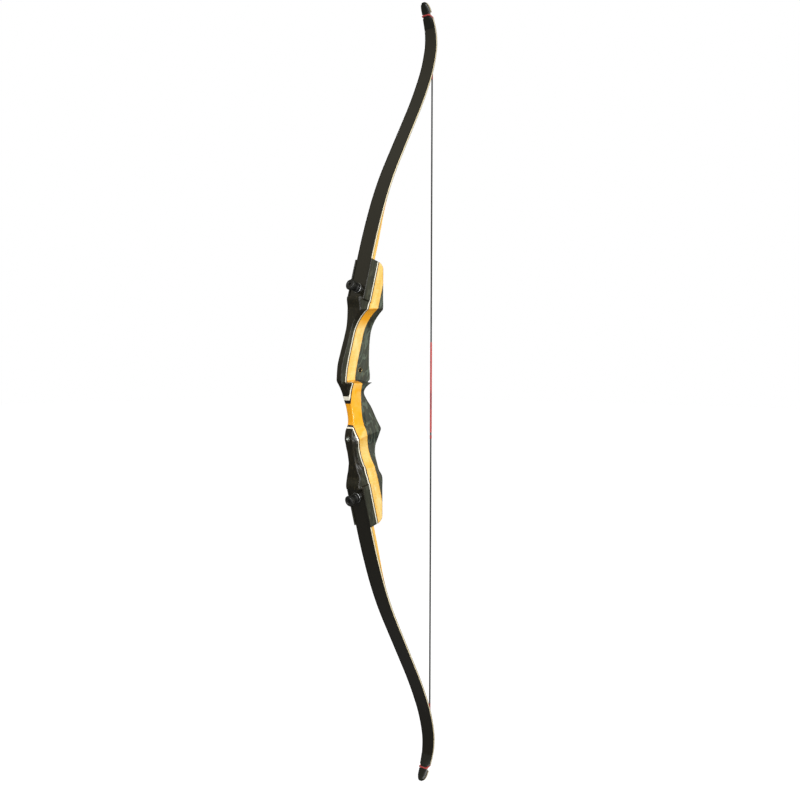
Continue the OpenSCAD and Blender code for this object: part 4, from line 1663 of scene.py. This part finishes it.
    def layers(self) -> list[tuple[str, bmesh.types.BMesh, Finish, str, tuple[str, ...]]]:
        """The layers of an upper limb.

        Returns:
            The name, shape, finish, slot and nodes of each.
        """
        whole = (0.0, self.length)
        tip = (self.length - self.overlay_length, self.length)
        glass = self.section(self.glass, self.glass * self.glass_round, 0.0)
        wedge = self.section(self.pad.limb_depth / 2, 0.0, self.wedge_round)
        ridged = ((-1, 1), (-1, 0.6), (-0.62, -0.9), (-0.3, -1), (0.3, -1), (0.62, -0.9), (1, 0.6), (1, 1))
        return [
            ("back_glass", self.strip(lambda s: 0.0, lambda s: self.glass, *whole, glass),
             BLACK_GLASS, "black_glass", ("back_glass", "back_glass_butt")),
            ("core", self.strip(lambda s: self.glass, self.core_low, *whole, SQUARE),
             LIMB_MAPLE, "limb_wood", ("core", "core_butt")),
            ("belly_glass", self.strip(self.core_low, self.belly_low, *whole, SQUARE),
             BLACK_GLASS, "black_glass", ("belly_glass", "belly_glass_butt")),
            ("wedge", self.strip(self.belly_low, self.wedge_low, 0.0, self.wedge_length, wedge),
             WEDGE_MAPLE, "wedge_wood", ("wedge", "wedge_butt")),
            ("tip_overlay", self.strip(self.overlay_top, lambda s: 0.0, *tip, ridged),
             TIP_BLACK, "tip_black", ("tip_overlay",))]

    def drill(self, piece: bpy.types.Object) -> None:
        """Drills a layer's butt for the bolt and the pin.

        Args:
            piece: the layer.
        """
        holes = bmesh.new()
        for along, radius, start in ((self.pad.bolt_at, self.bolt_hole, self.bolt_hole_depth),
                                     (self.pad.pin_at, self.pin_hole, self.pin_hole_depth)):
            rod(holes, self.pad.on_pad(along) - self.pad.inward * start, self.pad.inward, radius,
                start + self.pad.limb_depth, sides=48)
        shape_with(piece, make_piece("drill", holes), Cut.REMOVE)

    def build(self) -> None:
        """Makes both limbs."""
        start = self.under(self.bend_from, self.bend_depth)
        stop = self.under(self.bend_to, self.bend_depth)
        for end in End:
            for name, shape, finish, slot, nodes in self.layers():
                piece = make_piece(end.name(f"limb_{name}"), shape)
                if name != "wedge":
                    for tool in self.nock_tools():
                        shape_with(piece, tool, Cut.REMOVE)
                if name != "tip_overlay":
                    self.drill(piece)
                bring(piece, end)
                dress(piece, finish)
                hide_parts(*(end.name(node) for node in nodes))
                if name == "tip_overlay":
                    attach(piece, f"{end.value}_limb")
                else:
                    end.mirror @ start
                    end.mirror @ stop
                    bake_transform(piece)


@dataclass
class BowString:
    """The looped string: twisted strands, wound servings and served loops."""

    limb: Limb
    strand_radius: float = 1.55 * MM
    serving_radius: float = 2.0 * MM
    end_radius: float = 1.6 * MM
    thread: float = 0.55 * MM
    serving_top: float = 95 * MM
    serving_low: float = -80 * MM
    band_gap: float = 5 * MM
    band_length: float = 7 * MM
    end_length: float = 72 * MM
    loop_length: float = 30 * MM
    loop_bend: float = 8.4 * MM
    loop_slack: float = 0.1 * MM
    fork_half: float = 0.85 * MM
    lay: float = 34 * MM
    strand_step: float = 3 * MM
    valley: float = 0.88
    rib: float = 0.9
    wire_share: float = 0.56
    stop_short: float = 1 * MM

    @property
    def lift(self) -> float:
        """Distance from the belly to the middle of the string."""
        return self.end_radius + self.limb.gap

    @property
    def contact(self) -> float:
        """Where the string leaves the belly.

        Returns:
            The distance from the butt.
        """
        lean = self.limb.pad.lean
        run = 0.0
        for length, turn in self.limb.arcs:
            after = lean + math.radians(turn)
            if turn < 0 and after < 0:
                return (run + length * lean / (lean - after)) * MM
            lean = after
            run += length
        return run * MM

    def belly(self, s: float, x: float = 0.0, lift: float | None = None) -> Vector:
        """Point over the belly at a distance from the butt."""
        height = self.lift if lift is None else lift
        return self.limb.under(s, self.limb.belly_low(s) + height) + Vector((x, 0, 0))

    @property
    def line(self) -> Vector:
        """Point where the straight string meets the belly."""
        return self.belly(self.contact)

    @property
    def top(self) -> float:
        """Height at which the straight string stops, just short of the belly."""
        return self.line.z - self.stop_short

    def strands(self) -> bmesh.types.BMesh:
        """The twisted bundle from the nocking point to the belly.

        Returns:
            The bundle's bmesh.
        """
        ring = [(x * self.valley, y * self.valley) if i % 2 else (x, y)
                for i, (x, y) in enumerate(circle(24))]
        count = int(self.top / self.strand_step)
        frames = [Matrix.Translation((0, self.line.y, self.top * i / count))
                  @ Matrix.Rotation(math.tau * self.top * i / count / self.lay, 4, "Z")
                  @ Matrix.Scale(self.strand_radius, 4) for i in range(count + 1)]
        return swept(ring, frames)

    def winding(self, low: float, high: float, radius: float) -> bpy.types.Object:
        """Thread wound round the straight string between two heights.

        Args:
            low: lower end.
            high: upper end.
            radius: radius over the thread.

        Returns:
            The winding as an object.
        """
        turns = max(1, round((high - low - self.thread) / self.thread))
        pitch = (high - low - self.thread) / turns
        wire = pitch * self.wire_share
        steps = 14
        shape = bmesh.new()
        bmesh.ops.create_circle(shape, segments=6, radius=wire)
        upright = Matrix.Rotation(math.pi / 2, 3, "X")
        bmesh.ops.rotate(shape, cent=(0, 0, 0), matrix=upright, verts=shape.verts)
        bmesh.ops.translate(shape, vec=(radius - wire, 0, 0), verts=shape.verts)
        piece = make_piece("winding", shape)
        screw = piece.modifiers.new("wind", "SCREW")
        screw.axis = "Z"
        screw.screw_offset = pitch
        screw.iterations = turns
        screw.steps = steps
        screw.render_steps = steps
        screw.use_merge_vertices = False
        settle(piece)
        closed = bmesh.new()
        closed.from_mesh(piece.data)
        bmesh.ops.holes_fill(closed, edges=closed.edges, sides=8)
        bmesh.ops.translate(closed, vec=(0, self.line.y, low + self.thread / 2), verts=closed.verts)
        bmesh.ops.recalc_face_normals(closed, faces=closed.faces)
        closed.to_mesh(piece.data)
        closed.free()
        finish_mesh(piece.data, crease=60)
        return piece

    def served(self, path: Sequence[Vector], radius: Callable[[float], float],
               sides: int = 12) -> bmesh.types.BMesh:
        """Thread wound round a curved stretch.

        Args:
            path: the stretch's guide points.
            radius: radius over the thread at a share of the length.
            sides: vertices round it.

        Returns:
            The ribbed tube's bmesh.
        """
        points = self.spread(path, self.thread / 2)
        count = len(points) - 1
        radii = [radius(i / count) * (1.0 if i % 2 else self.rib) for i in range(count + 1)]
        return swept(circle(sides), tube_frames(points, radii))

    @staticmethod
    def spread(path: Sequence[Vector], step: float) -> list[Vector]:
        """Even points along a smooth curve.

        Args:
            path: the curve's guide points.
            step: the distance wanted between points.

        Returns:
            The points, with both ends.
        """
        ends = [path[0] * 2 - path[1], *path, path[-1] * 2 - path[-2]]
        steps = 24
        fine = []
        for a, b, c, d in zip(ends, ends[1:], ends[2:], ends[3:]):
            for i in range(steps):
                t = i / steps
                fine.append(0.5 * (2 * b + (c - a) * t + (2 * a - 5 * b + 4 * c - d) * t ** 2
                                   + (3 * b - a - 3 * c + d) * t ** 3))
        fine.append(path[-1])
        total = sum((q - p).length for p, q in zip(fine, fine[1:]))
        count = max(2, round(total / step))
        made, walked, target = [fine[0]], 0.0, total / count
        for p, q in zip(fine, fine[1:]):
            length = (q - p).length
            while length > 0 and walked + length >= target * len(made) - 1e-9 and len(made) < count:
                made.append(p.lerp(q, (target * len(made) - walked) / length))
            walked += length
        made.append(fine[-1])
        return made

    def loop(self) -> bmesh.types.BMesh:
        """The loop round the nock: two legs up the belly that meet over the back.

        Returns:
            The loop's bmesh.
        """
        limb = self.limb
        leg = limb.neck_width / 2 + self.end_radius + limb.gap
        top = limb.under(limb.nock, limb.groove - limb.overlay - self.lift)
        fork = limb.nock - self.loop_length
        start, steps = self.fork_half, 5
        rise = self.loop_length - self.loop_bend
        legs = []
        for i in range(steps + 1):
            t = i / steps
            x = start + (leg - start) * (0.6 - 0.6 * math.cos(math.pi / 2 * t) + 0.4 * t)
            legs.append(self.belly(fork + rise * t, x, self.lift + self.loop_slack))
        legs += [self.belly(limb.nock - 5.4 * MM, leg, -0.4 * MM),
                 Vector((leg, top.y + 1.9 * MM, top.z - 0.4 * MM)),
                 Vector((leg - 1 * MM, top.y + 0.5 * MM, top.z - 0.1 * MM)),
                 Vector((leg - 2.4 * MM, top.y, top.z))]
        flipped = [Vector((-p.x, p.y, p.z)) for p in reversed(legs)]
        full, thin, growth = self.end_radius - self.loop_slack, 0.8 * MM, 7

        def radius(share: float) -> float:
            """Thin where the legs lie side by side at the fork."""
            near = min(share, 1 - share)
            return min(full, thin + near * growth * MM)

        return self.served([*legs, top, *flipped], radius)

    def build(self) -> None:
        """Makes both halves of the string."""
        steps = 12
        run = self.limb.nock - self.loop_length - self.contact
        for end in End:
            stem = [Vector((0, self.line.y, self.top))]
            stem += [self.belly(self.contact + run * i / steps) for i in range(steps + 1)]
            serving = self.serving_top if end is End.UPPER else -self.serving_low
            pieces = [
                (make_piece("strands", self.strands(), crease=60), "strands", STRAND_BLACK, "string_black"),
                (self.winding(0.0, serving, self.serving_radius), "centre_serving", SERVING_RED,
                 "serving_red"),
                (self.winding(self.top - self.end_length, self.top, self.end_radius), "end_serving", LOOP_RED,
                 "serving_red"),
                (make_piece("stem", self.served(stem, lambda t: self.end_radius), crease=60), "end_stem",
                 LOOP_RED, "serving_red"),
                (make_piece("loop", self.loop(), crease=60), "string_loop", LOOP_RED, "serving_red")]
            if end is End.LOWER:
                band = -self.serving_low + self.band_gap
                pieces.append((self.winding(band, band + self.band_length, self.serving_radius),
                               "serving_band", LOOP_RED, "serving_red"))
            for piece, node, finish, slot in pieces:
                piece.name = f"{node}_thread" if node == "serving_band" else end.name(f"{node}_thread")
                bring(piece, end)
                dress(piece, finish)
                if node == "serving_band":
                    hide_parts(node)
                else:
                    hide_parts(end.name("end_serving" if node == "end_stem" else node))
                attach(piece, f"{end.value}_string")


@dataclass
class Fittings:
    """Turned pieces that stay as the solids made them."""

    def build(self) -> None:
        """Gives the hidden inserts and pins their metal."""
        for end in End:
            dress(frame["nodes"][end.name("insert")], BRASS)
            dress(frame["nodes"][end.name("pin")], STEEL)


@dataclass
class Studio:
    """Camera, floor and soft lights."""

    azimuth: float = math.radians(45)
    distance: float = 2.1
    eye: float = 48.5 * MM
    pixels: float = 800.0
    focal_pixels: float = 1152.9
    bow_column: float = 361.6
    horizon_row: float = 366.0
    roll: float = math.radians(0.22)
    sensor: float = 36.0
    floor_drop: float = 1 * MM
    floor_size: float = 20.0
    ambient: float = 0.28
    reflected: Colour = (0.185, 0.18, 0.15)

    def camera(self) -> None:
        """Sets up the camera at the photograph's angle."""
        data = bpy.data.cameras.new("view")
        data.sensor_width = self.sensor
        data.lens = self.focal_pixels / self.pixels * self.sensor
        data.shift_x = (self.pixels / 2 - self.bow_column) / self.pixels
        data.shift_y = (self.horizon_row - self.pixels / 2) / self.pixels
        data.clip_start, data.clip_end = 0.05, 50
        seat = bpy.data.objects.new("view", data)
        a = self.azimuth
        seat.location = (math.sin(a) * self.distance, -math.cos(a) * self.distance, self.eye)
        seat.rotation_euler = (Matrix.Rotation(a, 4, "Z") @ Matrix.Rotation(math.pi / 2, 4, "X")
                               @ Matrix.Rotation(self.roll, 4, "Z")).to_euler()
        bpy.context.scene.collection.objects.link(seat)
        bpy.context.scene.camera = seat

    @staticmethod
    def paper(name: str, glow: float) -> bpy.types.Material:
        """Pale paper, which the camera sees as white.

        Args:
            name: the material's name.
            glow: how light it looks to the camera before the lamps add to it.

        Returns:
            The material.
        """
        material = bpy.data.materials.new(name)
        material.use_nodes = True
        desk = Desk(material)
        desk.feed("Base Color", (0.14, 0.14, 0.14, 1.0))
        desk.feed("Roughness", 0.9)
        desk.feed("Specular IOR Level", 0.0)
        seen = desk.seen_by("Camera", "Transmission")
        desk.feed("Emission Color", desk.mix(seen, (0, 0, 0), (glow, glow, glow)))
        desk.feed("Emission Strength", 1.0)
        return material

    def floor(self) -> None:
        """Lays the floor just under the lower tip."""
        shape = bmesh.new()
        bmesh.ops.create_grid(shape, x_segments=1, y_segments=1, size=self.floor_size)
        bmesh.ops.translate(shape, vec=(0, 0, CAD_BOX[0].z - self.floor_drop), verts=shape.verts)
        floor = make_piece("floor", shape)
        floor.data.materials.append(self.paper("paper", 0.97))

    def world(self) -> None:
        """White surroundings, dimmer in reflections and as a light than as a background."""
        world = bpy.data.worlds.new("surround")
        world.use_nodes = True
        bpy.context.scene.world = world
        desk = Desk(world, "BACKGROUND")
        colour = desk.mix(desk.seen_by("Glossy"), (self.ambient,) * 3, self.reflected)
        desk.feed("Color", desk.mix(desk.seen_by("Camera", "Transmission"), colour, (1, 1, 1)))
        desk.feed("Strength", 1.0)

    def lamp(self, name: str, place: Vector, aim: Vector, size: tuple[float, float], power: float,
             colour: Colour = (1, 1, 1)) -> None:
        """Adds one soft area lamp.

        Args:
            name: its name.
            place: where it stands.
            aim: the point that it faces.
            size: its width and height.
            power: its power in watts.
            colour: its colour.
        """
        data = bpy.data.lights.new(name, "AREA")
        data.shape = "RECTANGLE"
        data.size, data.size_y = size
        data.color = colour
        data.energy = power
        lamp = bpy.data.objects.new(name, data)
        lamp.location = place
        lamp.rotation_euler = (aim - place).to_track_quat("-Z", "Y").to_euler()
        bpy.context.scene.collection.objects.link(lamp)

    def build(self) -> None:
        """Sets up the whole studio."""
        self.camera()
        self.floor()
        self.world()
        heart = Vector((0, 0.05, 0))
        self.lamp("key", Vector((2.4, -1.0, 0.9)), heart, (1.3, 1.6), power=60)
        self.lamp("front", Vector((0.5, -2.6, 0.42)), heart, (0.7, 2.2), power=34)
        self.lamp("low", Vector((1.9, -0.8, -0.55)), heart, (1.2, 0.35), power=11)
        self.lamp("side_card", Vector((1.9, 1.7, 0.3)), heart, (1.8, 1.9), power=7,
                  colour=(1.0, 1.0, 0.78))
        self.lamp("front_card", Vector((-1.35, -1.2, 1.15)), heart, (2.4, 2.2), power=2.8,
                  colour=(1.0, 0.94, 0.76))
        self.lamp("rear", Vector((-2.0, 1.8, 1.2)), heart, (1.2, 1.2), power=26)
        view = bpy.context.scene.view_settings
        view.view_transform = "Standard"


def main() -> None:
    """Builds the studio and every sub-assembly of the bow."""
    logging.basicConfig(level=logging.INFO, format="%(message)s")
    limb = Limb()
    for assembly in (
            Studio(), Riser(), LimbBolt(),
            Bushing("stabiliser_bushing", Vector((0, -1, 0)), NICKEL, NICKEL),
            # the plunger bushing's dark thread is painted shade in its bore
            Bushing("plunger_bushing", Vector((1, 0, 0)), BRASS, SHADED_BORE_THREAD),
            Fittings(), limb, BowString(limb)):
        assembly.build()
        LOG.info("built %s", type(assembly).__name__)


if __name__ == "__main__":
    main()
